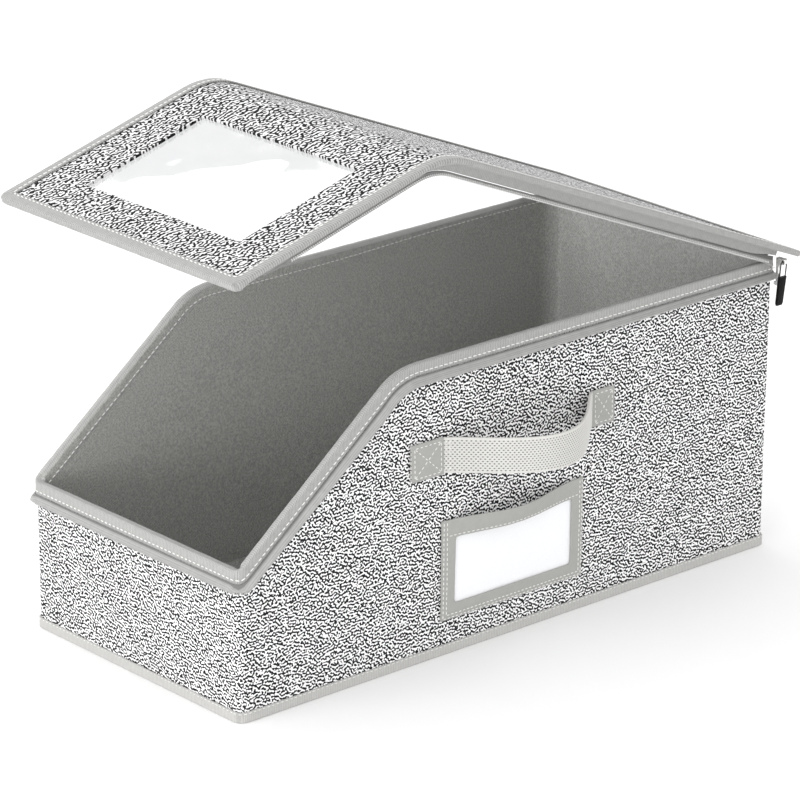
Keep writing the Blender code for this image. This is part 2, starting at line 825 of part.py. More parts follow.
def build_slider(material):
    """Slider plate with a foot against the tape and an eye that carries the bail."""
    place = slider_place()
    eye = slider_eye_center()
    foot = place.x + GAP
    inner = place.x + SLIDER_FOOT
    outer = inner + SLIDER_PLATE
    low = place.z - SLIDER_PLATE / 2
    ledge = place.z + SLIDER_PLATE / 2
    outline = [(foot, low), (outer, low), (outer, eye.z - SLIDER_EYE * 2)]
    for step in range(ROUND_SIDES + 1):
        angle = EYE_TURN * (2 * step / ROUND_SIDES - 1)
        outline.append((eye.x + SLIDER_EYE * math.cos(angle), eye.z + SLIDER_EYE * math.sin(angle)))
    outline += [(inner, eye.z + SLIDER_EYE * math.sin(EYE_TURN)), (inner, ledge), (foot, ledge)]
    bore = [
        (eye.x + SLIDER_EYE_BORE * math.cos(2 * math.pi * side / ROUND_SIDES),
         eye.z + SLIDER_EYE_BORE * math.sin(2 * math.pi * side / ROUND_SIDES))
        for side in range(ROUND_SIDES)
    ]
    slab = thicken(sheet(outline, [bore]), -SLIDER_WIDTH / 2, SLIDER_WIDTH / 2)
    for vert in slab.verts:
        vert.co = Vector((vert.co.x, place.y + vert.co.z, vert.co.y))
    add_object("zip_slider", slab, material)


def leaned(point):
    """The bail and the pull hang with their lower end towards the wall."""
    return Vector((point.x - PULL_LEAN * (slider_eye_center().z - point.z), point.y, point.z))


def bail_path():
    """Middle line of the bail: a bar through the slider's eye and two legs down to the pull."""
    eye = slider_eye_center()
    half = BAIL_SPREAD / 2
    turn = BAIL_WIRE
    drop = SLIDER_EYE_BORE - BAIL_WIRE / 2 - GAP / 2
    top = eye.z - drop
    bottom = top - BAIL_LENGTH
    path = [Vector((eye.x, eye.y - half, bottom)), Vector((eye.x, eye.y - half, top - turn))]
    for step in range(1, WIRE_BEND_STEPS):
        angle = math.pi / 2 * step / WIRE_BEND_STEPS
        path.append(Vector((eye.x, eye.y - half + turn * (1 - math.cos(angle)),
                            top - turn * (1 - math.sin(angle)))))
    path.append(Vector((eye.x, eye.y - half + turn, top)))
    path += [Vector((p.x, 2 * eye.y - p.y, p.z)) for p in reversed(path)]
    return [leaned(point) for point in path]


def build_bail(material):
    path = bail_path()
    loops = []
    for index, point in enumerate(path):
        before = path[max(index - 1, 0)]
        after = path[min(index + 1, len(path) - 1)]
        along = (after - before).normalized()
        out = Vector((1, 0, 0))
        side = along.cross(out)
        ring = []
        for corner in range(WIRE_SIDES):
            angle = 2 * math.pi * corner / WIRE_SIDES
            ring.append(point + (out * math.cos(angle) + side * math.sin(angle)) * BAIL_WIRE / 2)
        loops.append(ring)
    add_object("slider_bail", skin(loops, section_closed=False), material)


def build_pull(material):
    """Moulded pull, with a socket for each leg of the bail."""
    top = bail_path()[0].z + PULL_SOCKET - GAP
    center = slider_eye_center()
    bore = BAIL_WIRE / 2 + GAP
    half_width = PULL_WIDTH / 2
    half_thickness = PULL_THICKNESS / 2
    round_plan, _ = rounded_plan(half_width, -half_thickness, half_thickness, PULL_EDGE, (), ())
    sockets = []
    for side in (-1, 1):
        sockets.append([
            (side * BAIL_SPREAD / 2 + bore * math.cos(2 * math.pi * step / WIRE_SIDES),
             bore * math.sin(2 * math.pi * step / WIRE_SIDES))
            for step in range(WIRE_SIDES)
        ])
    bm = bmesh.new()
    rows = []
    for _, share, size in PULL_TAPER:
        z = top - share * PULL_LENGTH
        rows.append([
            bm.verts.new(leaned(Vector((center.x + p.y * size, center.y + p.x * size, z))))
            for p in round_plan
        ])
    count = len(round_plan)
    for upper, lower in zip(rows, rows[1:]):
        for step in range(count):
            after = (step + 1) % count
            bm.faces.new((upper[step], upper[after], lower[after], lower[step]))
    bm.faces.new(rows[-1])
    rim = [bm.edges.get((rows[0][i], rows[0][(i + 1) % count])) for i in range(count)]
    for socket in sockets:
        mouth, end = [
            [bm.verts.new(leaned(Vector((center.x + y, center.y + x, z)))) for x, y in socket]
            for z in (top, top - PULL_SOCKET)
        ]
        for step in range(len(mouth)):
            after = (step + 1) % len(mouth)
            bm.faces.new((mouth[step], mouth[after], end[after], end[step]))
            rim.append(bm.edges.get((mouth[step], mouth[after])))
        bm.faces.new(end)
    bmesh.ops.triangle_fill(bm, use_beauty=True, use_dissolve=False, edges=rim)
    add_object("pull_tab", bm, material)


def main():
    clear_scene()
    fleck = make_material("flecked_fabric", (0.78, 0.78, 0.77), 0.95)
    grey_lining = make_material("grey_lining", (0.20, 0.20, 0.19), 0.95)
    trim = make_material("grey_trim", (0.55, 0.55, 0.53), 0.9)
    tape = make_material("zip_tape", (0.62, 0.62, 0.61), 0.85)
    webbing = make_material("webbing", (0.66, 0.66, 0.63), 0.9)
    card = make_material("white_card", (0.92, 0.92, 0.92), 0.6)
    film = make_material("clear_film", (0.9, 0.91, 0.92), 0.08, alpha=0.35)
    plated = make_material("plated_zinc", (0.75, 0.75, 0.74), 0.25, metallic=1.0)
    black = make_material("black_pull", (0.015, 0.015, 0.015), 0.35)

    walls = Walls()
    build_shell(walls, fleck)
    build_lining(walls, grey_lining)
    build_rim_binding(walls, trim)
    build_base_binding(walls, trim)
    build_lower_tape(walls, tape)
    build_strap(webbing)
    build_pocket(trim)
    build_card(card)
    build_hinge_roll(trim)
    build_slider(plated)
    build_bail(black)
    build_pull(black)

    hinge = bpy.data.objects.new("lid_hinge", None)
    hinge.location = HINGE
    hinge.rotation_euler.x = -OPEN_ANGLE
    bpy.context.scene.collection.objects.link(hinge)
    build_lid_panel(fleck, hinge)
    build_window_film(film, hinge)
    build_lid_binding(trim, hinge)
    build_skirt(trim, hinge)
    build_upper_tape(tape, hinge)


main()
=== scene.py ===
import json
import math

import bpy
from mathutils import Matrix, Vector

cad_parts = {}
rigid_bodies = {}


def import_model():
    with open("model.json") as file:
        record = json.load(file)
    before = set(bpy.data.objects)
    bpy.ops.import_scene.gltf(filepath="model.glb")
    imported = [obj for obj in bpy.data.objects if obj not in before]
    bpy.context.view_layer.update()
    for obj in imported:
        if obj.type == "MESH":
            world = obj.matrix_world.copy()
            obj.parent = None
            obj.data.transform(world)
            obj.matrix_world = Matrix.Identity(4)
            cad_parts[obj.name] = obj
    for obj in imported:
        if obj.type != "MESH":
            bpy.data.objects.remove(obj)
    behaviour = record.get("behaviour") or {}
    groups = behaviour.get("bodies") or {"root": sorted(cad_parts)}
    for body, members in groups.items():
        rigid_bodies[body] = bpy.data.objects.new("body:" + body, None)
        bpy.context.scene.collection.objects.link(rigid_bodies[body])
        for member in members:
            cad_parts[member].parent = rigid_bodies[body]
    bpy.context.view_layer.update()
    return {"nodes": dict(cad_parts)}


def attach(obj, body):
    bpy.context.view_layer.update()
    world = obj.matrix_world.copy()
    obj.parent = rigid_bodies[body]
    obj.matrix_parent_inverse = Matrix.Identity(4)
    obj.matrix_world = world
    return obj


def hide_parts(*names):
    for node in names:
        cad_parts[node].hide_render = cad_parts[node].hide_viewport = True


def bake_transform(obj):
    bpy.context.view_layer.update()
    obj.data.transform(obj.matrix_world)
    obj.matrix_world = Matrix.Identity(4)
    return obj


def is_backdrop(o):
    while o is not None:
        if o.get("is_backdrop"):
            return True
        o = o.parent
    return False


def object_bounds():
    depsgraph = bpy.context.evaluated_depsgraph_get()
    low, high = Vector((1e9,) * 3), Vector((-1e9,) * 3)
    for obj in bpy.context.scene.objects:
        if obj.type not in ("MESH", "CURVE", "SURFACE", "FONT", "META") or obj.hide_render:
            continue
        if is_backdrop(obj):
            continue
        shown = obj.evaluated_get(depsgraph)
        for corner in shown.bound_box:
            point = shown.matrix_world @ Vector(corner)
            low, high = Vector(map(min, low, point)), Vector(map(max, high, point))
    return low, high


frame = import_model()

# Sizes of the box, in metres
HALF_WIDTH = 0.1033
FRONT_Y = -0.2264
REAR_FOOT_Y = 0.2264
REAR_LEAN = 0.0028
REAR_Y = REAR_FOOT_Y + REAR_LEAN
FRONT_HEIGHT = 0.1003
REAR_HEIGHT = 0.2014
BEND_Y = -0.099
BEND_RADIUS = 0.045
CORNER = 0.0056
WALL_BULGE = 0.0015
SLOPE = math.atan2(REAR_HEIGHT - FRONT_HEIGHT, BEND_Y - FRONT_Y)
BEND_TANGENT = BEND_RADIUS * math.tan(SLOPE / 2)
FLAT_START = BEND_Y + BEND_TANGENT
SLOPE_END = BEND_Y - BEND_TANGENT * math.cos(SLOPE)

# The lid at rest stands open by this angle about its hinge
OPEN = math.radians(22.5)
HINGE = Vector((0, REAR_Y, REAR_HEIGHT + 0.0011))
LID_HALF = 0.1172
LID_SHIFT = 0.0035
LID_REAR = -0.0072
BEND_FROM = REAR_Y - FLAT_START
BEND_TO = BEND_FROM + BEND_RADIUS * SLOPE
FRONT_WALL = BEND_TO + (BEND_Y - FRONT_Y) / math.cos(SLOPE) - BEND_TANGENT
LID_FRONT = FRONT_WALL + 0.0071
LID_TOP = 0.0098

MM = 1000.0

# Patterns, in millimetres of cloth
FLECK_PITCH = 2.3
FLECK_WAVES = 1.4
FLECK_STRETCH = 0.8
HOLE_PITCH = 2.1
HOLE_ROW = 1.5

# Stitches of the bindings: length, width and thickness, and from one to the next
STITCH = (0.0031, 0.0009, 0.0008)
STITCH_PITCH = 0.0040
FINE_STITCH = (0.0023, 0.0006, 0.0006)
FINE_PITCH = 0.0033
FOOT_STITCH = (0.0024, 0.0005, 0.0004)
FOOT_PITCH = 0.0036
LEFT_SEAM_RISE = 0.0031
BEAD_SIDES = 6
BEAD_RINGS = 4

# Zip: where the tapes start below their bindings, the coil's turns and the lid's row of teeth,
# whose start, end and step are millimetres along the lid
# These tape tops also mark where each tape's painted seam shade ends.
LOWER_TAPE_TOP = 0.0087
UPPER_TAPE_TOP = 0.0010
COIL_TURN = (0.0011, 0.0012, 0.0036)
TOOTH = (0.0011, 0.0012, 0.0026)
COIL_PITCH = 0.0016
COIL_ENDS_Y = -0.065
TEETH_START = 10
TEETH_END = 46
TEETH_STEP = 4
TEETH_SIDE = 0.1088
TEETH_RISE = -0.0033

# Depth left of the lower tape, as a share of the solid's, at places along the box
TAPE_DEPTHS = ((-0.2264, 0.55), (-0.09, 0.75), (0.06, 0.68), (0.158, 0.54), (0.2292, 0.54))

# Cloth over the rear seam, from below up: length and height of its middle line
HINGE_LINE = ((0.2313, 0.1935), (0.2313, 0.1975), (0.2320, 0.1996), (0.2333, 0.2012), (0.2352, 0.2054))
HINGE_WIDTH = 0.188
HINGE_CLOTH = 0.0004
HINGE_COLUMNS = 64
HINGE_ROWS = 16

# Strap and card pocket on the right wall
STRAP_HEIGHT = 0.1364
STRAP_HALF = 0.0118
STRAP_START = -0.0642
PATCH_HEIGHT = 0.0244
PATCHES = (("front", -0.0776, 0.0262), ("rear", 0.0722, 0.0194))
PATCH_OUTSET = 0.00218
PATCH_CLOTH = 0.0006
POCKET_LEFT = -0.0648
POCKET_RIGHT = 0.0564
POCKET_BOTTOM = 0.0235
POCKET_TOP = 0.092
POCKET_BAND = 0.0125

# Line across the window where the glare ends: two places across and along the lid
GLARE_LEFT = (-0.073, 0.458)
GLARE_RIGHT = (0.081, 0.360)
FILM_RISE = 0.0062

# Seams sewn on the right wall's pieces: how far in from their edges
PATCH_SEAM = 0.0022
STRAP_SEAMS = (0.001, 0.003)
STRAP_SEAM_HALF = 0.0105
POCKET_SEAMS = (0.0014, 0.0038)
POCKET_SEAM_END = 0.001
BAND_SEAM = 0.0016
BAND_SEAM_END = 0.005

# How far the soft copies sink, hang or shorten against their solids
RIM_ROLL = 0.0016
SKIRT_GROWTH = 0.0027
UPPER_TAPE_SHARE = 0.37
LID_DROOP = 0.0016

# Lengths of the stretches that a copied solid is cut into, so that it can bow and take lumps
WALL_CUT = 0.012
PANEL_CUT = 0.010
SKIRT_CUT = 0.006
FILM_CUT = 0.006
FOOT_CUT = 0.005
BINDING_CUT = 0.004
STRAP_CUT = 0.003
PATCH_CUT = 0.002
SEAM_CUT = 0.0015
LINE_STEP = 0.004
CORNER_STEPS = 6
FLOOR_TOP = 0.002
LID_LOW_Y = -0.25
LID_CORNER = 0.005
NEARLY = 0.0002
SHARP = math.radians(35)


class Field:
    """A shader value that takes part in sums."""

    def __init__(self, finish, socket):
        self.finish = finish
        self.socket = socket

    def math(self, operation, *values):
        return self.finish.node("ShaderNodeMath", {"operation": operation}, dict(enumerate(values)))

    def __add__(self, other):
        return self.math("ADD", self, other)

    __radd__ = __add__

    def __sub__(self, other):
        return self.math("SUBTRACT", self, other)

    def __rsub__(self, other):
        return self.math("SUBTRACT", other, self)

    def __mul__(self, other):
        return self.math("MULTIPLY", self, other)

    __rmul__ = __mul__

    def __truediv__(self, other):
        return self.math("DIVIDE", self, other)

    def __abs__(self):
        return self.math("ABSOLUTE", self)

    def floor(self):
        return self.math("FLOOR", self)

    def fract(self):
        return self.math("FRACT", self)

    def sine(self):
        return self.math("SINE", self)

    def root(self):
        return self.math("SQRT", self)

    def step(self, low, high):
        """0 below low, 1 above high and smooth between them."""
        return self.finish.node(
            "ShaderNodeMapRange", {"interpolation_type": "SMOOTHSTEP"},
            {"Value": self, "From Min": low, "From Max": high})


class Finish:
    """A material and the nodes that feed its Principled shader."""

    def __init__(self, name, **constants):
        self.material = bpy.data.materials.new(name)
        self.material.use_nodes = True
        self.tree = self.material.node_tree
        self.shader = self.tree.nodes["Principled BSDF"]
        self.set(**constants)

    def set(self, **sockets):
        for name, value in sockets.items():
            self.feed(self.shader.inputs[name.replace("_", " ")], value)
        return self

    def feed(self, socket, value):
        if isinstance(value, Field):
            self.tree.links.new(value.socket, socket)
        elif isinstance(value, (tuple, list)) and len(value) == 3 and socket.type == "RGBA":
            socket.default_value = (*value, 1.0)
        else:
            socket.default_value = value

    def node(self, kind, settings=None, inputs=None, output=0):
        made = self.tree.nodes.new(kind)
        for name, value in (settings or {}).items():
            setattr(made, name, value)
        for name, value in (inputs or {}).items():
            self.feed(made.inputs[name], value)
        return Field(self, made.outputs[output])

    def place(self):
        """Object coordinates in millimetres."""
        coordinates = self.node("ShaderNodeTexCoord", output="Object")
        return self.node("ShaderNodeVectorMath", {"operation": "SCALE"}, {0: coordinates, "Scale": MM})

    def along(self, place, direction):
        return self.node("ShaderNodeVectorMath", {"operation": "DOT_PRODUCT"},
                         {0: place, 1: direction}, output="Value")

    def noise(self, place, size, detail=1.0, roughness=0.5):
        """Cloudy noise from 0 to 1 with lumps about size millimetres across."""
        return self.node("ShaderNodeTexNoise", None, {
            "Vector": place, "Scale": 1.0 / size, "Detail": detail, "Roughness": roughness})

    def attribute(self, name):
        return self.node("ShaderNodeAttribute", {"attribute_name": name}, output="Fac")

    def blend(self, share, first, second):
        made = self.tree.nodes.new("ShaderNodeMix")
        made.data_type = "RGBA"
        self.feed(made.inputs[0], share)
        self.feed(made.inputs[6], first)
        self.feed(made.inputs[7], second)
        return Field(self, made.outputs[2])

    def relief(self, height, depth, strength=1.0):
        """Bump of the given depth in metres."""
        return self.node("ShaderNodeBump", None, {
            "Height": height, "Distance": depth, "Strength": strength})


def weave(across, along, pitch):
    """Plain weave: over and under in a chequer of raised thread crossings, from 0 to 1."""
    first = (across * (math.pi / pitch)).sine()
    second = (along * (math.pi / pitch)).sine()
    return (first * second) * 0.5 + 0.5


def fleck_waves(finish, cloth, direction, shift):
    """Short waves with about 2 mm from crest to crest, in patches a few waves wide."""
    moved = finish.node("ShaderNodeVectorMath", {"operation": "ADD"}, {0: cloth, 1: (shift, 0, 0)})
    return finish.node("ShaderNodeTexGabor", {"gabor_type": "2D"}, {
        "Vector": moved, "Scale": 1 / (FLECK_PITCH * FLECK_WAVES), "Frequency": FLECK_WAVES,
        "Anisotropy": FLECK_STRETCH, "Orientation 2D": math.radians(direction)}, output="Value") - 0.5


def flecked_cloth(name, size, cover, whiteness):
    """White cloth with short near-black flecks in wavering rows, some of them aslant."""
    finish = Finish(name, Roughness=0.9, Specular_IOR_Level=0.12)
    flat = finish.node("ShaderNodeUVMap", {"uv_map": "cloth"})
    cloth = finish.node("ShaderNodeVectorMath", {"operation": "SCALE"}, {0: flat, "Scale": 1 / size})
    level = fleck_waves(finish, cloth, 90, 0)
    falling = fleck_waves(finish, cloth, 44, 70)
    rising = fleck_waves(finish, cloth, 150, 130)
    patchy = finish.noise(cloth, 7.0, 1.0).step(0.3, 0.7) * 0.03
    flecks = (level + falling * 0.8 + rising * 0.55 + patchy).step(-cover, 0.012 - cover)
    flecks = flecks * finish.noise(cloth, 2.2, 0.0).step(0.31, 0.35)
    shade = finish.noise(cloth, 1.3, 2.0)
    pale = finish.blend(shade.step(0.35, 0.7), (whiteness,) * 3, (whiteness * 0.93,) * 3)
    black = finish.blend(shade, (0.004, 0.004, 0.005), (0.03, 0.029, 0.031))
    across = finish.along(cloth, (1, 0, 0))
    down = finish.along(cloth, (0, 1, 0))
    threads = weave(across, down, 0.7)
    finish.set(
        Base_Color=finish.blend(flecks, pale, black),
        Normal=finish.relief(threads * 0.5 + flecks * 0.6 + shade * 0.4, 0.0002, 0.7))
    return finish


def lining_cloth():
    """Mottled grey cloth, with painted light on the rear wall, where the light from the opening falls."""
    finish = Finish("grey lining weave with painted rear light", Roughness=0.95, Sheen_Weight=0.2, Sheen_Roughness=0.5)
    place = finish.place()
    up = finish.along(place, (0, 0, 1))
    run = finish.along(place, (1, 1, 0.35))
    threads = weave(up, run, 0.75)
    mottle = finish.noise(place, 1.3, 2.0, 0.7)
    # Painted light: from 205 mm to 224 mm along the box the lining turns paler, so the rear wall looks lit
    # through the opening.
    rear = finish.along(place, (0, 1, 0)).step(205.0, 224.0)
    dark = finish.blend(rear, (0.29, 0.292, 0.276), (0.56, 0.562, 0.54))
    light = finish.blend(rear, (0.54, 0.543, 0.52), (0.90, 0.902, 0.88))
    finish.set(
        Base_Color=finish.blend((threads * 0.2 + mottle * 0.8).step(0.32, 0.68), dark, light),
        Normal=finish.relief(threads * 0.5 + mottle, 0.0006, 0.8))
    return finish


def ribbed_tape(name, dark, light, pitch=1.4):
    """Woven binding with fine ribs across it, read from the run and drop of each point."""
    finish = Finish(name, Roughness=0.88, Sheen_Weight=0.2, Sheen_Roughness=0.45)
    run = finish.attribute("run") * MM
    drop = finish.attribute("drop") * MM
    place = finish.place()
    ribs = (run * (2 * math.pi / pitch)).sine() * 0.5 + 0.5
    picks = (drop * (2 * math.pi / 0.8)).sine() * 0.5 + 0.5
    mottle = finish.noise(place, 3.0, 3.0, 0.6)
    tone = (ribs * 0.45 + picks * 0.2 + mottle * 0.5).step(0.25, 0.85)
    finish.set(
        Base_Color=finish.blend(tone, dark, light),
        Normal=finish.relief(ribs * 0.8 + picks * 0.4 + mottle * 0.4, 0.00016, 0.7))
    return finish


def smooth_tape(name, top):
    """Zip tape with fine threads that run along it, with painted shade in the seam that it comes out of."""
    finish = Finish(name, Roughness=0.8, Sheen_Weight=0.2, Sheen_Roughness=0.4)
    drop = finish.attribute("drop") * MM
    run = finish.attribute("run") * MM
    place = finish.place()
    lines = (drop * (2 * math.pi / 0.9)).sine() * 0.5 + 0.5
    cross = (run * (2 * math.pi / 0.7) + drop * 2.0).sine() * 0.5 + 0.5
    mottle = finish.noise(place, 5.0, 2.0)
    tone = lines * 0.35 + cross * 0.15 + mottle * 0.5
    woven = finish.blend(tone.step(0.2, 0.8), (0.31, 0.31, 0.305), (0.43, 0.43, 0.42))
    # Painted shade: from 0.1 to 0.9 mm below the tape's top the colour falls to a dark grey of 0.18, as if
    # the seam under the binding were shaded.
    shown = drop.step(top * MM + 0.1, top * MM + 0.9)
    finish.set(
        Base_Color=finish.blend(shown, (0.18, 0.18, 0.176), woven),
        Normal=finish.relief(lines * 0.6 + cross * 0.4, 0.00012, 0.6))
    return finish


def mesh_webbing():
    """Open webbing: pale threads with small dark holes in staggered rows."""
    finish = Finish("mesh webbing", Roughness=0.85, Sheen_Weight=0.2, Sheen_Roughness=0.4)
    run = finish.attribute("run") * MM
    up = finish.attribute("drop") * MM
    row = up / HOLE_ROW
    along = run / HOLE_PITCH + row.floor() * 0.5
    beside = abs(along.fract() - 0.5) * HOLE_PITCH
    above = abs(row.fract() - 0.5) * HOLE_ROW
    hole = 1 - (beside * beside + above * above * 1.5).root().step(0.3, 0.62)
    hole = hole * (1 - (abs(up) - 10.2).step(0.0, 0.8)) * (1 - run.step(0.0, 46.0) * 0.85)
    mottle = finish.noise(finish.place(), 2.0, 2.0)
    pale = finish.blend(mottle, (0.58, 0.575, 0.55), (0.69, 0.68, 0.655))
    finish.set(
        Base_Color=finish.blend(hole * 0.9, pale, (0.10, 0.10, 0.095)),
        Normal=finish.relief((1 - hole) + mottle * 0.3, 0.00035, 0.9))
    return finish


def grey_twill():
    """Smooth grey cloth of the strap's patches and the card pocket."""
    finish = Finish("grey twill", Roughness=0.9, Sheen_Weight=0.2, Sheen_Roughness=0.5)
    place = finish.place()
    up = finish.along(place, (0, 0, 1))
    run = finish.along(place, (0, 1, 0))
    twill = ((up + run) * (2 * math.pi / 0.75)).sine() * 0.5 + 0.5
    picks = ((up - run * 0.6) * (2 * math.pi / 0.9)).sine() * 0.5 + 0.5
    mottle = finish.noise(place, 4.0, 3.0, 0.6)
    tone = (twill * 0.4 + picks * 0.2 + mottle * 0.4).step(0.2, 0.85)
    finish.set(
        Base_Color=finish.blend(tone, (0.33, 0.33, 0.315), (0.42, 0.42, 0.40)),
        Normal=finish.relief(twill * 0.7 + picks * 0.3 + mottle * 0.4, 0.00014, 0.6))
    return finish


def card_stock():
    finish = Finish("white card stock", Roughness=0.55)
    grain = finish.noise(finish.place(), 0.8, 4.0, 0.6)
    finish.set(
        Base_Color=finish.blend(grain.step(0.3, 0.7), (0.90, 0.905, 0.92), (0.86, 0.865, 0.88)),
        Normal=finish.relief(grain, 0.00003, 0.5))
    return finish


def clear_film():
    """Clear film with a faint haze and slow waves."""
    finish = Finish("clear film", IOR=1.45, Transmission_Weight=1.0)
    place = finish.place()
    haze = finish.noise(place, 24.0, 2.0)
    finish.set(
        Base_Color=finish.blend(haze.step(0.3, 0.7), (0.69, 0.695, 0.70), (0.715, 0.718, 0.72)),
        Roughness=haze.step(0.45, 0.8) * 0.04 + 0.01,
        Normal=finish.relief(finish.noise(place, 38.0, 1.0), 0.00012, 0.6))
    return finish


def black_gloss(name, color, rough, shine=0.5):
    """Black paint or moulding with faint wear."""
    finish = Finish(name, Coat_Roughness=0.15, Specular_IOR_Level=shine)
    place = finish.place()
    wear = finish.noise(place, 1.4, 4.0, 0.65)
    finish.set(
        Base_Color=finish.blend(wear.step(0.45, 0.8), color, tuple(c * 2.2 + 0.01 for c in color)),
        Roughness=wear * 0.25 + rough,
        Coat_Weight=wear.step(0.2, 0.9) * shine * 0.5,
        Normal=finish.relief(wear, 0.00004, 0.5))
    return finish


def plated_zinc():
    """Bright plating with faint scuffs."""
    finish = Finish("plated zinc", Metallic=1.0)
    scuff = finish.noise(finish.place(), 0.9, 4.0, 0.65)
    finish.set(
        Base_Color=finish.blend(scuff.step(0.4, 0.8), (0.93, 0.93, 0.92), (0.74, 0.74, 0.73)),
        Roughness=scuff * 0.25 + 0.12,
        Normal=finish.relief(scuff, 0.00003, 0.5))
    return finish


def white_thread():
    finish = Finish("white thread", Roughness=0.7, Sheen_Weight=0.3)
    place = finish.place()
    ply = (finish.along(place, (1, 1, 1)) * (2 * math.pi / 0.5)).sine() * 0.5 + 0.5
    finish.set(
        Base_Color=finish.blend(ply, (0.80, 0.79, 0.77), (0.93, 0.925, 0.91)),
        Normal=finish.relief(ply, 0.00006, 0.6))
    return finish


# The default greys are darker than the lid's white teeth of the same zip: painted shade for the box's coil,
# which lies under the lower tape.
def zip_coil(name="nylon zip coil with painted shade", dark=(0.36, 0.36, 0.355), light=(0.50, 0.50, 0.49)):
    finish = Finish(name, Roughness=0.45)
    grain = finish.noise(finish.place(), 0.9, 2.0)
    finish.set(
        Base_Color=finish.blend(grain, dark, light),
        Normal=finish.relief(grain, 0.00005, 0.4))
    return finish


def pale_floor():
    finish = Finish("pale floor", Roughness=0.85)
    grain = finish.noise(finish.place(), 60.0, 3.0)
    finish.set(Base_Color=finish.blend(grain, (0.95, 0.95, 0.95), (0.965, 0.965, 0.965)))
    return finish


def only(*pieces):
    """Select these pieces and nothing else."""
    bpy.ops.object.select_all(action="DESELECT")
    for piece in pieces:
        piece.select_set(True)
    bpy.context.view_layer.objects.active = pieces[0]


def in_edit(piece):
    only(piece)
    bpy.ops.object.mode_set(mode="EDIT")
    bpy.ops.mesh.select_all(action="SELECT")


def out_of_edit():
    bpy.ops.object.mode_set(mode="OBJECT")


def modify(piece, kind, **settings):
    """Add a modifier and apply it."""
    only(piece)
    made = piece.modifiers.new(kind.lower(), kind)
    for name, value in settings.items():
        setattr(made, name, value)
    bpy.ops.object.modifier_apply(modifier=made.name)


def copy_of(node, name, quads=True):
    """A merged copy of a solid of the frame, to be worked on."""
    only(frame["nodes"][node])
    bpy.ops.object.duplicate()
    piece = bpy.context.object
    bpy.ops.object.parent_clear(type="CLEAR_KEEP_TRANSFORM")
    piece.name = name
    piece.data.name = name
    in_edit(piece)
    bpy.ops.mesh.customdata_custom_splitnormals_clear()
    bpy.ops.mesh.remove_doubles(threshold=0.00001)
    if quads:
        bpy.ops.mesh.tris_convert_to_quads(face_threshold=0.7, shape_threshold=0.7)
    out_of_edit()
    return piece


def slice_across(piece, axis, low, high, step):
    """Cut a piece all through at even steps along one axis."""
    in_edit(piece)
    normal = [0, 0, 0]
    normal[axis] = 1
    count = int((high - low) / step)
    for index in range(1, count):
        point = [0, 0, 0]
        point[axis] = low + (high - low) * index / count
        bpy.ops.mesh.select_all(action="SELECT")
        bpy.ops.mesh.bisect(plane_co=point, plane_no=normal)
    out_of_edit()


def cut_walls(piece):
    slice_across(piece, 1, FRONT_Y, REAR_Y, WALL_CUT)
    slice_across(piece, 0, -HALF_WIDTH, HALF_WIDTH, WALL_CUT)
    slice_across(piece, 2, FLOOR_TOP, REAR_HEIGHT, WALL_CUT)


def cut_band(piece, low_y, step):
    """Cut a band of cloth into short stretches along the sides and along the front."""
    slice_across(piece, 1, low_y, REAR_Y, step)
    slice_across(piece, 0, -HALF_WIDTH + CORNER, HALF_WIDTH - CORNER, step)


def round_edges(piece, width, segments=2, sharp=SHARP):
    modify(piece, "BEVEL", width=width, segments=segments, limit_method="ANGLE", angle_limit=sharp)


def clouds(name, size):
    texture = bpy.data.textures.new(name, "CLOUDS")
    texture.noise_scale = size
    texture.noise_depth = 1
    return texture


def unevenness(piece, size, amount):
    """Gentle lumps, as in cloth over board."""
    modify(piece, "DISPLACE", texture=clouds(piece.name + "_lumps", size), strength=amount,
           mid_level=0.5, texture_coords="LOCAL")


def reshape(piece, move):
    """Move each point of a soft piece by a rule, as a hand would push it."""
    for vert in piece.data.vertices:
        vert.co = move(vert.co.copy())


def finish_piece(piece, finish, body, slot, *nodes, angle=40):
    """Give a piece its material, shading and body, and hide the solids it stands for. The slot argument is
    not used.
    """
    piece.data.materials.clear()
    piece.data.materials.append(finish.material)
    only(piece)
    bpy.ops.object.shade_smooth_by_angle(angle=math.radians(angle))
    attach(piece, body)
    if nodes:
        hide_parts(*nodes)
    return piece


def rim_height(y):
    """Height of the side walls' top edge."""
    if y >= FLAT_START:
        return REAR_HEIGHT
    if y >= SLOPE_END:
        return REAR_HEIGHT - BEND_RADIUS + math.sqrt(BEND_RADIUS ** 2 - (FLAT_START - y) ** 2)
    return FRONT_HEIGHT + (y - FRONT_Y) * math.tan(SLOPE)


def side_run(y):
    """Length along the side's rim from the front wall."""
    if y < SLOPE_END:
        return (y - FRONT_Y) / math.cos(SLOPE)
    slope = (SLOPE_END - FRONT_Y) / math.cos(SLOPE)
    if y < FLAT_START:
        return slope + BEND_RADIUS * (SLOPE - math.asin((FLAT_START - y) / BEND_RADIUS))
    return slope + BEND_RADIUS * SLOPE + y - FLAT_START


def rim_steep(y):
    """How much further a drop across the rim goes when it is measured straight down."""
    if y >= FLAT_START:
        return 1.0
    if y >= SLOPE_END:
        return 1 / math.cos(math.asin((FLAT_START - y) / BEND_RADIUS))
    return 1 / math.cos(SLOPE)


def bulge(along, upward):
    """Outward bow of a wall, by shares of its length and height."""
    along = min(max(along, 0.0), 1.0)
    upward = min(max(upward, 0.0), 1.0)
    return WALL_BULGE * math.sin(math.pi * along) * math.sin(math.pi * upward)


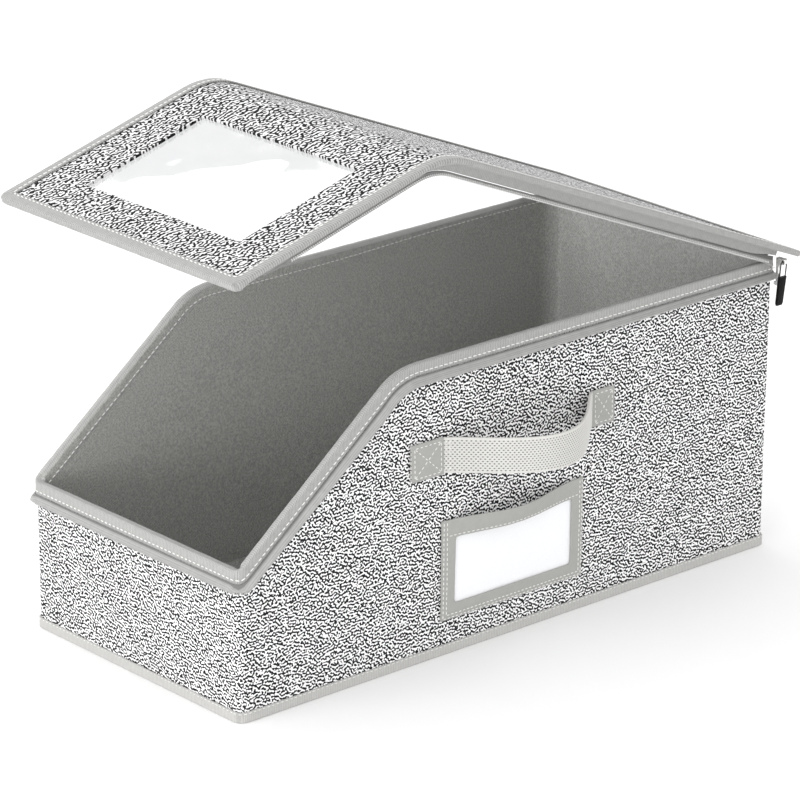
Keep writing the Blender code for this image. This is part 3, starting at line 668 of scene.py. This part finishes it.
def wall_path(outset, drop):
    """Line round the walls that keeps a drop below the rim: rear left, front, rear right."""
    points = []
    side = HALF_WIDTH + outset
    front = FRONT_Y - outset
    radius = CORNER + outset

    def add(x, y, steep):
        height = rim_height(max(y, FRONT_Y))
        z = max(height - drop * steep, FRONT_HEIGHT - drop)
        if y < front + NEARLY:
            swell = bulge(x / (2 * HALF_WIDTH) + 0.5, z / height)
            points.append(Vector((x, y - swell, z)))
        elif abs(x) > side - NEARLY:
            swell = bulge((y - FRONT_Y) / (REAR_FOOT_Y - FRONT_Y), z / height)
            points.append(Vector((x + math.copysign(swell, x), y, z)))
        else:
            points.append(Vector((x, y, z)))

    count = int((REAR_Y - front - radius) / LINE_STEP)
    for index in range(count):
        y = REAR_Y + (front + radius - REAR_Y) * index / count
        add(-side, y, rim_steep(y))
    for index in range(CORNER_STEPS + 1):
        angle = math.pi + math.pi / 2 * index / CORNER_STEPS
        y = front + radius + radius * math.sin(angle)
        share = abs(math.cos(angle))
        add(-side + radius + radius * math.cos(angle), y, 1 + (rim_steep(y) - 1) * share)
    left_side = len(points)
    count = int((side * 2 - radius * 2) / LINE_STEP)
    for index in range(1, count):
        add(-side + radius + (side - radius) * 2 * index / count, front, 1)
    return points + [Vector((-p.x, p.y, p.z)) for p in reversed(points[:left_side])]


def rounded_outline(corners, radius):
    """Closed flat line round corners, each given by its centre and where its arc starts, in degrees."""
    points = []
    for x, y, start in corners:
        for index in range(CORNER_STEPS + 1):
            angle = math.radians(start + 90 / CORNER_STEPS * index)
            points.append(Vector((x + radius * math.cos(angle), y + radius * math.sin(angle), 0)))
    return points + points[:1]


def foot_path(outset, z):
    """Line round the foot of the walls, closed."""
    side = HALF_WIDTH + outset - CORNER
    near = FRONT_Y - outset + CORNER
    far = REAR_FOOT_Y + outset - CORNER
    corners = ((-side, near, 180), (side, near, 270), (side, far, 0), (-side, far, 90))
    return [Vector((p.x, p.y, z)) for p in divide(rounded_outline(corners, CORNER), LINE_STEP)]


def divide(points, step):
    """The same line with points no further apart than step."""
    result = [points[0]]
    for before, after in zip(points, points[1:]):
        count = max(1, int((after - before).length / step))
        result += [before.lerp(after, index / count) for index in range(1, count + 1)]
    return result


def lid_point(x, along, rise):
    """Point of the open lid: across, along from the hinge and above the rim when closed."""
    if along <= BEND_FROM:
        y = REAR_Y - along
        z = REAR_HEIGHT + rise
    elif along <= BEND_TO:
        angle = (along - BEND_FROM) / BEND_RADIUS
        y = FLAT_START - (BEND_RADIUS + rise) * math.sin(angle)
        z = REAR_HEIGHT - BEND_RADIUS + (BEND_RADIUS + rise) * math.cos(angle)
    else:
        rest = along - BEND_TO
        y = FLAT_START - (BEND_RADIUS + rise) * math.sin(SLOPE) - rest * math.cos(SLOPE)
        z = REAR_HEIGHT - BEND_RADIUS + (BEND_RADIUS + rise) * math.cos(SLOPE) - rest * math.sin(SLOPE)
    return HINGE + Matrix.Rotation(-OPEN, 3, "X") @ (Vector((x, y, z)) - HINGE)


def on_lid(point):
    """Across, along and rise of a point of the open lid."""
    closed = HINGE + Matrix.Rotation(OPEN, 3, "X") @ (Vector(point) - HINGE)
    center_z = REAR_HEIGHT - BEND_RADIUS
    if closed.y >= FLAT_START:
        return closed.x, REAR_Y - closed.y, closed.z - REAR_HEIGHT
    angle = math.atan2(FLAT_START - closed.y, closed.z - center_z)
    reach = math.hypot(FLAT_START - closed.y, closed.z - center_z)
    if angle <= SLOPE:
        return closed.x, BEND_FROM + BEND_RADIUS * angle, reach - BEND_RADIUS
    forward = (FLAT_START - closed.y) * math.cos(SLOPE) - (closed.z - center_z) * math.sin(SLOPE)
    rise = (FLAT_START - closed.y) * math.sin(SLOPE) + (closed.z - center_z) * math.cos(SLOPE) - BEND_RADIUS
    return closed.x, BEND_TO + forward, rise


def lid_path(inset, rise):
    """Closed line round the lid at an inset from its edge."""
    low_x = LID_SHIFT - LID_HALF + inset + LID_CORNER
    high_x = LID_SHIFT + LID_HALF - inset - LID_CORNER
    low = LID_REAR + inset + LID_CORNER
    high = LID_FRONT - inset - LID_CORNER
    corners = ((low_x, high, 90), (low_x, low, 180), (high_x, low, 270), (high_x, high, 0))
    flat = divide(rounded_outline(corners, LID_CORNER), LINE_STEP)
    return [lid_point(p.x, p.y, rise) for p in flat]


def wire(points, name):
    """A curve through points, for rows of stitches and teeth to follow."""
    data = bpy.data.curves.new(name, "CURVE")
    data.dimensions = "3D"
    spline = data.splines.new("POLY")
    spline.points.add(len(points) - 1)
    for target, point in zip(spline.points, points):
        target.co = (*point, 1)
    data.twist_mode = "Z_UP"
    path = bpy.data.objects.new(name, data)
    bpy.context.scene.collection.objects.link(path)
    return path


def row_along(points, name, pitch, size, tilt=0.0):
    """A row of rounded beads, each size long, wide and tall, that follows a line."""
    length = sum((b - a).length for a, b in zip(points, points[1:]))
    count = max(1, int(length / pitch))
    bpy.ops.object.select_all(action="DESELECT")
    bpy.ops.mesh.primitive_uv_sphere_add(segments=BEAD_SIDES, ring_count=BEAD_RINGS, radius=0.5)
    piece = bpy.context.object
    piece.name = name
    in_edit(piece)
    bpy.ops.transform.rotate(value=math.pi / 2, orient_axis="Y", center_override=(0, 0, 0))
    bpy.ops.transform.resize(value=size, center_override=(0, 0, 0))
    if tilt:
        bpy.ops.transform.rotate(value=tilt, orient_axis="Z", center_override=(0, 0, 0))
    bpy.ops.transform.translate(value=(pitch / 2, 0, 0))
    out_of_edit()
    modify(piece, "ARRAY", count=count, use_relative_offset=False, use_constant_offset=True,
           constant_offset_displace=(length / count, 0, 0))
    path = wire(points, name + "_line")
    modify(piece, "CURVE", object=path, deform_axis="POS_X")
    bpy.data.objects.remove(path, do_unlink=True)
    return piece


def join(pieces, name):
    only(*pieces)
    bpy.ops.object.join()
    piece = bpy.context.object
    piece.name = name
    return piece


def record(piece, measure):
    """Store on each point its run along the piece and its drop across it, in metres."""
    run = piece.data.attributes.new("run", "FLOAT", "POINT")
    drop = piece.data.attributes.new("drop", "FLOAT", "POINT")
    for index, vert in enumerate(piece.data.vertices):
        run.data[index].value, drop.data[index].value = measure(vert.co)


def lay_cloth(piece, place):
    """Lay a flat pattern in millimetres over a piece, from each point and its face's normal."""
    layer = piece.data.uv_layers.new(name="cloth")
    for face in piece.data.polygons:
        for corner in face.loop_indices:
            point = piece.data.vertices[piece.data.loops[corner].vertex_index].co
            layer.data[corner].uv = [size * MM for size in place(point, face.normal)]


def on_walls(point, normal):
    """Level run and height on the walls. The underside takes its own two lengths."""
    if abs(normal.z) > 0.7:
        return point.y, point.x
    return point.x + point.y, point.z


def on_panel(point, normal):
    across, along, _ = on_lid(point)
    return along, across


def inside_rim(point):
    """Whether a point of the rim binding is on its inner side."""
    reach = HALF_WIDTH - 0.003
    front = FRONT_Y + 0.003
    return abs(point.x) < reach and front < point.y < REAR_Y - 0.003


def rim_measure(point):
    side = abs(abs(point.x) - HALF_WIDTH) < 0.007 and point.y > FRONT_Y + 0.002
    height = rim_height(min(max(point.y, FRONT_Y), REAR_Y))
    drop = (height - point.z) / rim_steep(point.y)
    if point.y > REAR_Y - 0.007:
        return HALF_WIDTH + side_run(REAR_Y) + HALF_WIDTH - abs(point.x), drop
    if side:
        return HALF_WIDTH + side_run(point.y), drop
    return abs(point.x), drop


def lid_measure(point):
    x, along, _ = on_lid(point)
    side_inset = LID_HALF - abs(x - LID_SHIFT)
    end_inset = min(LID_FRONT - along, along - LID_REAR)
    if side_inset < end_inset:
        return along, side_inset
    return x, end_inset


def strap_measure(point):
    return point.y, point.z - STRAP_HEIGHT


def outset_of(point):
    return max(abs(point.x) - HALF_WIDTH, FRONT_Y - point.y, point.y - REAR_Y)


def drop_of(point):
    """Drop of a point below the rim, and how steep the rim is there."""
    steep = rim_steep(point.y)
    if point.y < FRONT_Y + CORNER:
        share = (abs(point.x) - HALF_WIDTH + CORNER) / (CORNER + 0.003)
        steep = 1 + (steep - 1) * min(max(share, 0.0), 1.0)
    return (rim_height(min(max(point.y, FRONT_Y), REAR_Y)) - point.z) / steep, steep


def smooth(value, low, high):
    share = min(max((value - low) / (high - low), 0.0), 1.0)
    return share * share * (3 - 2 * share)


def read_table(table, place):
    """Value at a place between the rows of a table of places and values."""
    for (low, first), (high, second) in zip(table, table[1:]):
        if place <= high:
            return first + (second - first) * min(max((place - low) / (high - low), 0.0), 1.0)
    return table[-1][1]


def roll_rim(point):
    """The binding is rolled over the edge, so that its inner half lies lower."""
    drop, _ = drop_of(point)
    inward = smooth(-outset_of(point), 0.001, 0.005)
    point.z -= RIM_ROLL * inward * min(max(1 - drop / 0.006, 0.0), 1.0)
    return point


def lower_lining(point):
    """The lining's top edge goes down with the rolled binding over it."""
    drop, _ = drop_of(point)
    if drop < 0.004:
        point.z -= RIM_ROLL
    return point


def narrow_tape(point):
    """The lower tape is tucked up under the binding, and is less deep than its solid."""
    drop, steep = drop_of(point)
    depth = read_table(TAPE_DEPTHS, point.y)
    tucked = 0.0005 * (1 - smooth(drop, 0.0085, 0.0105))
    new_drop = LOWER_TAPE_TOP + (drop - LOWER_TAPE_TOP) * depth - tucked
    point.z += (drop - new_drop) * steep
    return point


def on_lid_side(along):
    """1 along the lid's sides, and 0 at its rear corners and its front."""
    return smooth(along, 0.004, 0.03) * (1 - smooth(along, LID_FRONT - 0.05, LID_FRONT - 0.015))


def lengthen_skirt(point):
    """The skirt's hem hangs lower along the lid's sides."""
    x, along, rise = on_lid(point)
    share = min(max((0.0066 - rise) / 0.0046, 0.0), 1.0)
    return lid_point(x, along, rise - SKIRT_GROWTH * share * on_lid_side(along))


def lower_upper_tape(point):
    """Along the sides the upper tape starts at the skirt's hem and is less deep than its solid."""
    x, along, rise = on_lid(point)
    hung = -UPPER_TAPE_TOP + (rise - 0.0017) * UPPER_TAPE_SHARE
    return lid_point(x, along, rise + (hung - rise) * on_lid_side(along))


def droop_edge(point):
    """The binding's underside hangs a little lower along the lid's front."""
    x, along, rise = on_lid(point)
    share = smooth(along, LID_FRONT - 0.012, LID_FRONT - 0.004) * (1 - smooth(rise, 0.006, 0.008))
    return lid_point(x, along, rise - LID_DROOP * share)


def stand_on_floor(point):
    """Lumps don't go below the floor."""
    point.z = max(point.z, 0.0)
    return point


def follow_wall(point):
    """Bow a flat piece with the right wall."""
    point.x += bulge((point.y - FRONT_Y) / (REAR_FOOT_Y - FRONT_Y), point.z / rim_height(point.y))
    return point


def wall_patch(name, y, width):
    """Square of cloth sewn over a flat end of the strap."""
    bpy.ops.object.select_all(action="DESELECT")
    bpy.ops.mesh.primitive_cube_add(size=1)
    piece = bpy.context.object
    piece.name = name
    in_edit(piece)
    bpy.ops.transform.resize(value=(PATCH_CLOTH, width, PATCH_HEIGHT))
    middle = HALF_WIDTH + PATCH_OUTSET + PATCH_CLOTH / 2
    bpy.ops.transform.translate(value=(middle, y, STRAP_HEIGHT))
    out_of_edit()
    slice_across(piece, 1, y - width / 2, y + width / 2, PATCH_CUT)
    half = PATCH_HEIGHT / 2
    slice_across(piece, 2, STRAP_HEIGHT - half, STRAP_HEIGHT + half, PATCH_CUT)
    round_edges(piece, 0.00025)
    reshape(piece, follow_wall)
    unevenness(piece, 0.005, 0.00025)
    return piece


def sew(piece, lines, name, size=FINE_STITCH, pitch=FINE_PITCH):
    """Rows of stitches on a piece's right side, between places given by length and height."""
    bpy.context.view_layer.update()
    rows = []
    for start, end in lines:
        flat = divide([Vector((0, *start)), Vector((0, *end))], SEAM_CUT)
        hits = [piece.ray_cast(Vector((0.3, p.y, p.z)), Vector((-1, 0, 0)))[1] for p in flat]
        rows.append(row_along([hit + Vector((0.0001, 0, 0)) for hit in hits], name, pitch, size))
    return join(rows, name)


# Camera at the photograph's angle
camera_data = bpy.data.cameras.new("camera")
camera_data.lens = 202.6
camera_data.sensor_width = 36
camera = bpy.data.objects.new("camera", camera_data)
camera.location = (2.0663, -1.8035, 1.1282)
camera.rotation_euler = (math.radians(90 - 20.028), 0, math.radians(49.005))
bpy.context.scene.collection.objects.link(camera)
bpy.context.scene.camera = camera

# Finishes
cloth = flecked_cloth("flecked cloth", 1.0, 0.019, 0.96)
# The lid's copy has a duller white, 0.84 against the walls' 0.96, which is painted shade on the lid.
lid_cloth_painted_shade = flecked_cloth("flecked lid cloth with painted shade", 1.3, 0.026, 0.84)
lining = lining_cloth()
rim_tape = ribbed_tape("rim binding weave", (0.27, 0.27, 0.262), (0.45, 0.45, 0.44))
foot_tape = ribbed_tape("base binding weave", (0.40, 0.396, 0.385), (0.53, 0.525, 0.51))
lid_tape = ribbed_tape("lid binding weave", (0.24, 0.24, 0.233), (0.42, 0.42, 0.41), pitch=1.7)
skirt_tape = ribbed_tape("lid skirt weave", (0.35, 0.35, 0.34), (0.50, 0.50, 0.49))
lower_zip = smooth_tape("lower zip tape weave with painted seam shade", LOWER_TAPE_TOP)
upper_zip = smooth_tape("upper zip tape weave with painted seam shade", UPPER_TAPE_TOP)
webbing = mesh_webbing()
twill = grey_twill()
card = card_stock()
film = clear_film()
black_metal = black_gloss("black painted metal", (0.012, 0.012, 0.013), 0.18)
black_moulding = black_gloss("black moulded pull", (0.002, 0.0015, 0.0015), 0.35, shine=0.12)
zinc = plated_zinc()
thread = white_thread()
# The box's coil keeps the default darker greys, which are painted shade under the lower tape.
coil = zip_coil()
teeth = zip_coil("white zip teeth", (0.62, 0.62, 0.61), (0.80, 0.80, 0.79))

# Walls and lining
shell = copy_of("box_shell", "fabric_walls")
cut_walls(shell)
unevenness(shell, 0.05, 0.0006)
reshape(shell, stand_on_floor)
lay_cloth(shell, on_walls)
finish_piece(shell, cloth, "box", "flecked_fabric", "box_shell", angle=50)

inner = copy_of("box_lining", "lining_cloth")
cut_walls(inner)
reshape(inner, lower_lining)
finish_piece(inner, lining, "box", "lining_fabric", "box_lining", angle=50)

# Bindings of the box
rim = copy_of("rim_binding", "rim_binding_tape")
cut_band(rim, FRONT_Y, BINDING_CUT)
round_edges(rim, 0.0003)
reshape(rim, roll_rim)
unevenness(rim, 0.006, 0.0003)
record(rim, rim_measure)
finish_piece(rim, rim_tape, "box", "binding_tape", "rim_binding", angle=60)
rim.data.materials.append(lining.material)
for face in rim.data.polygons:
    if inside_rim(face.center) and abs(face.normal.z) < 0.6:
        face.material_index = 1

foot = copy_of("base_binding", "base_binding_tape")
cut_band(foot, FRONT_Y, FOOT_CUT)
unevenness(foot, 0.012, 0.0003)
reshape(foot, stand_on_floor)
record(foot, lambda p: (p.y if abs(p.x) > HALF_WIDTH - 0.001 else p.x, p.z))
finish_piece(foot, foot_tape, "box", "binding_tape", "base_binding", angle=60)

# Zip tapes
lower_tape = copy_of("lower_zip_tape", "lower_zip_tape_cloth")
cut_band(lower_tape, FRONT_Y, BINDING_CUT)
reshape(lower_tape, narrow_tape)
unevenness(lower_tape, 0.02, 0.0004)
record(lower_tape, lambda p: (rim_measure(p)[0], drop_of(p)[0]))
finish_piece(lower_tape, lower_zip, "box", "zip_tape", "lower_zip_tape", angle=60)

upper_tape = copy_of("upper_zip_tape", "upper_zip_tape_cloth")
cut_band(upper_tape, LID_LOW_Y, BINDING_CUT)
reshape(upper_tape, lower_upper_tape)
record(upper_tape, lambda p: (on_lid(p)[1], -on_lid(p)[2]))
finish_piece(upper_tape, upper_zip, "lid", "zip_tape", "upper_zip_tape", angle=60)

skirt = copy_of("lid_skirt", "lid_skirt_band")
slice_across(skirt, 1, LID_LOW_Y, REAR_Y, SKIRT_CUT)
reshape(skirt, lengthen_skirt)
record(skirt, lambda p: (on_lid(p)[1], on_lid(p)[2]))
finish_piece(skirt, skirt_tape, "lid", "binding_tape", "lid_skirt", angle=60)

# Lid
panel = copy_of("lid_panel", "lid_cloth_painted_shade")
slice_across(panel, 1, LID_LOW_Y, REAR_Y, PANEL_CUT)
slice_across(panel, 0, -0.11, 0.12, PANEL_CUT)
lay_cloth(panel, on_panel)
finish_piece(panel, lid_cloth_painted_shade, "lid", "flecked_fabric", "lid_panel", angle=40)

edge = copy_of("lid_binding", "lid_binding_tape")
slice_across(edge, 1, LID_LOW_Y, REAR_Y, BINDING_CUT)
slice_across(edge, 0, -0.108, 0.115, BINDING_CUT)
round_edges(edge, 0.0003)
reshape(edge, droop_edge)
unevenness(edge, 0.006, 0.0003)
record(edge, lid_measure)
finish_piece(edge, lid_tape, "lid", "binding_tape", "lid_binding", angle=60)

window = copy_of("window_film", "window_film_sheet")
slice_across(window, 1, LID_LOW_Y, 0.0, FILM_CUT)
slice_across(window, 0, -0.09, 0.10, FILM_CUT)
unevenness(window, 0.06, 0.0003)
finish_piece(window, film, "lid", "clear_film", "window_film", angle=60)

# Strap, card pocket and card
strap = copy_of("carrying_strap", "webbing_strap")
slice_across(strap, 2, STRAP_HEIGHT - STRAP_HALF, STRAP_HEIGHT + STRAP_HALF, STRAP_CUT)
round_edges(strap, 0.0005, segments=3, sharp=math.radians(50))
record(strap, strap_measure)
finish_piece(strap, webbing, "box", "webbing", "carrying_strap", angle=60)

pocket = copy_of("card_pocket", "card_pocket_cloth")
modify(pocket, "SUBSURF", levels=2, render_levels=2, subdivision_type="SIMPLE")
modify(pocket, "SMOOTH", iterations=3, factor=0.5)
unevenness(pocket, 0.012, 0.0004)
finish_piece(pocket, twill, "box", "binding_tape", "card_pocket", angle=60)

blank = copy_of("label_card", "blank_card")
finish_piece(blank, card, "box", "card", "label_card", angle=40)

# Hinge seam, slider and pull
seam = copy_of("hinge_seam", "hinge_roll")
record(seam, lambda p: (p.x, p.z))
finish_piece(seam, rim_tape, "box", "binding_tape", "hinge_seam", angle=60)

# Cloth that carries the lid: from the rear wall over the seam to the skirt
bpy.ops.object.select_all(action="DESELECT")
bpy.ops.mesh.primitive_grid_add(x_subdivisions=HINGE_COLUMNS, y_subdivisions=HINGE_ROWS, size=1)
hinge_cloth = bpy.context.object
hinge_cloth.name = "hinge_cloth"
in_edit(hinge_cloth)
bpy.ops.transform.resize(value=(HINGE_WIDTH, 1, 1))
out_of_edit()


def over_seam(point):
    """Bend the flat strip up the wall, over the seam and up the skirt's rear."""
    place = (point.y + 0.5) * (len(HINGE_LINE) - 1)
    index = min(int(place), len(HINGE_LINE) - 2)
    y, z = Vector(HINGE_LINE[index]).lerp(Vector(HINGE_LINE[index + 1]), place - index)
    return Vector((point.x, y, z))


reshape(hinge_cloth, over_seam)
modify(hinge_cloth, "SMOOTH", iterations=2, factor=0.5)
in_edit(hinge_cloth)
bpy.ops.mesh.normals_make_consistent(inside=False)
out_of_edit()
modify(hinge_cloth, "SOLIDIFY", thickness=HINGE_CLOTH, offset=0.0)
record(hinge_cloth, lambda p: (p.x, p.z))
hinge_cloth.data.materials.append(rim_tape.material)
only(hinge_cloth)
bpy.ops.object.shade_smooth_by_angle(angle=math.radians(50))
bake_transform(hinge_cloth)

slider = copy_of("zip_slider", "zip_slider_body", quads=False)
round_edges(slider, 0.0003, segments=3)
finish_piece(slider, zinc, "box", "plated_zinc", "zip_slider", angle=40)

bail = copy_of("slider_bail", "slider_wire_bail")
modify(bail, "SUBSURF", levels=1, render_levels=1)
finish_piece(bail, black_metal, "box", "painted_zinc", "slider_bail", angle=60)

pull = copy_of("pull_tab", "pull_tab_moulding", quads=False)
round_edges(pull, 0.0004, segments=3)
finish_piece(pull, black_moulding, "box", "black_plastic", "pull_tab", angle=50)

# Patches over the strap's flat ends, each with a sewn square and cross
for side, middle, width in PATCHES:
    patch = wall_patch("strap_patch_" + side, middle, width)
    left = middle - width / 2 + PATCH_SEAM
    right = middle + width / 2 - PATCH_SEAM
    low = STRAP_HEIGHT - PATCH_HEIGHT / 2 + PATCH_SEAM
    high = STRAP_HEIGHT + PATCH_HEIGHT / 2 - PATCH_SEAM
    corners = ((left, low), (right, low), (right, high), (left, high))
    lines = list(zip(corners, corners[1:] + corners[:1]))
    lines += [(corners[0], corners[2]), (corners[1], corners[3])]
    seams = sew(patch, lines, "strap_patch_stitches_" + side)
    finish_piece(patch, twill, "box", "binding_tape")
    finish_piece(seams, thread, "box", "binding_tape")

# Two rows where the strap leaves its front patch
strap_low = STRAP_HEIGHT - STRAP_SEAM_HALF
strap_high = STRAP_HEIGHT + STRAP_SEAM_HALF
strap_lines = []
for inset in STRAP_SEAMS:
    strap_lines.append(((STRAP_START + inset, strap_low), (STRAP_START + inset, strap_high)))
strap_stitches = sew(strap, strap_lines, "strap_start_stitches")
finish_piece(strap_stitches, thread, "box", "webbing")

# Stitches of the pocket: two rows at its sides and foot, one under its top band
pocket_lines = []
for inset in POCKET_SEAMS:
    left = POCKET_LEFT + inset
    right = POCKET_RIGHT - inset
    low = POCKET_BOTTOM + inset
    high = POCKET_TOP - POCKET_SEAM_END
    pocket_lines += [((left, low), (left, high)), ((right, low), (right, high)), ((left, low), (right, low))]
band = POCKET_TOP - POCKET_BAND + BAND_SEAM
pocket_lines.append(((POCKET_LEFT + BAND_SEAM_END, band), (POCKET_RIGHT - BAND_SEAM_END, band)))
pocket_stitches = sew(pocket, pocket_lines, "pocket_stitches")
finish_piece(pocket_stitches, thread, "box", "binding_tape")

# Stitches of the bindings
rim_stitches = row_along(wall_path(0.0014, 0.0060), "rim_stitches", STITCH_PITCH, STITCH, tilt=0.12)
finish_piece(rim_stitches, thread, "box", "binding_tape")
inner_line = wall_path(-0.0050, 0.0072)
for point in inner_line:
    if point.x < 0:
        point.z += LEFT_SEAM_RISE * smooth(point.y, 0.0, 0.15)
inner_stitches = row_along(inner_line, "inner_rim_stitches", STITCH_PITCH, STITCH, tilt=0.12)
finish_piece(inner_stitches, thread, "box", "binding_tape")
foot_stitches = row_along(foot_path(0.0014, 0.0062), "base_stitches", FOOT_PITCH, FOOT_STITCH, tilt=0.1)
finish_piece(foot_stitches, thread, "box", "binding_tape")
lid_stitches = row_along(lid_path(0.0066, LID_TOP + 0.0001), "lid_stitches", STITCH_PITCH, STITCH, tilt=0.2)
finish_piece(lid_stitches, thread, "lid", "binding_tape")

# Zip: the coil along the front and up the slopes, and the teeth along the lid's sides
coil_line = [p for p in wall_path(0.0022, 0.0137) if p.y < COIL_ENDS_Y]
coil_row = row_along(coil_line, "zip_coil", COIL_PITCH, COIL_TURN)
finish_piece(coil_row, coil, "box", "zip_tape")
rows = []
for side in (-1, 1):
    places = range(TEETH_START, int(LID_FRONT * MM) - TEETH_END, TEETH_STEP)
    line = [lid_point(side * TEETH_SIDE, along / MM, TEETH_RISE) for along in places]
    rows.append(row_along(line, "upper_zip_teeth", COIL_PITCH, TOOTH))
teeth_row = join(rows, "upper_zip_teeth")
finish_piece(teeth_row, teeth, "lid", "zip_tape")

# Floor and light
bpy.ops.object.select_all(action="DESELECT")
bpy.ops.mesh.primitive_plane_add(size=24, location=(0, 0, 0))
floor = bpy.context.object
floor.name = "floor"
floor.data.materials.append(pale_floor().material)
floor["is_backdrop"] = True

world = bpy.data.worlds.new("studio")
bpy.context.scene.world = world
world.use_nodes = True
world.node_tree.nodes["Background"].inputs["Color"].default_value = (1, 1, 1, 1)
world.node_tree.nodes["Background"].inputs["Strength"].default_value = 1.1
bpy.context.scene.view_settings.view_transform = "Standard"


def softbox(name, size, power):
    data = bpy.data.lights.new(name, "AREA")
    data.shape = "SQUARE"
    data.size = size
    data.energy = power
    lamp = bpy.data.objects.new(name, data)
    bpy.context.scene.collection.objects.link(lamp)
    return lamp


def soft_light(name, location, aim, size, power):
    lamp = softbox(name, size, power)
    lamp.location = location
    lamp.rotation_euler = (Vector(aim) - Vector(location)).to_track_quat("-Z", "Y").to_euler()


def window_glow(size, power, distance):
    """Softbox whose mirror image ends on a line across the window."""
    first = lid_point(*GLARE_LEFT, FILM_RISE)
    second = lid_point(*GLARE_RIGHT, FILM_RISE)
    middle = (first + second) / 2
    normal = (lid_point(0, GLARE_RIGHT[1], 1) - lid_point(0, GLARE_RIGHT[1], 0)).normalized()
    eye = camera.location - normal * 2 * (camera.location - middle).dot(normal)
    away = (middle - eye).normalized()
    place = middle + away * distance

    def beyond(point):
        ray = (point - eye).normalized()
        return eye + ray * ((place - eye).dot(away) / ray.dot(away))

    edge = (beyond(second) - beyond(first)).normalized()
    inward = away.cross(edge)
    if inward.dot(lid_point(GLARE_RIGHT[0], GLARE_LEFT[1], 0) - middle) < 0:
        inward = -inward
    lamp = softbox("window glow", size, power)
    lamp.rotation_euler = Matrix((edge, away.cross(edge), away)).transposed().to_euler()
    lamp.location = place + inward * size / 2


soft_light("key", (-0.5, -2.6, 1.5), (0, 0, 0.1), 1.4, 19)
soft_light("low left", (1.0, -1.8, 0.25), (0.1, 0, 0.1), 0.6, 10)
window_glow(0.9, 6.5, 1.6)

low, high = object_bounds()
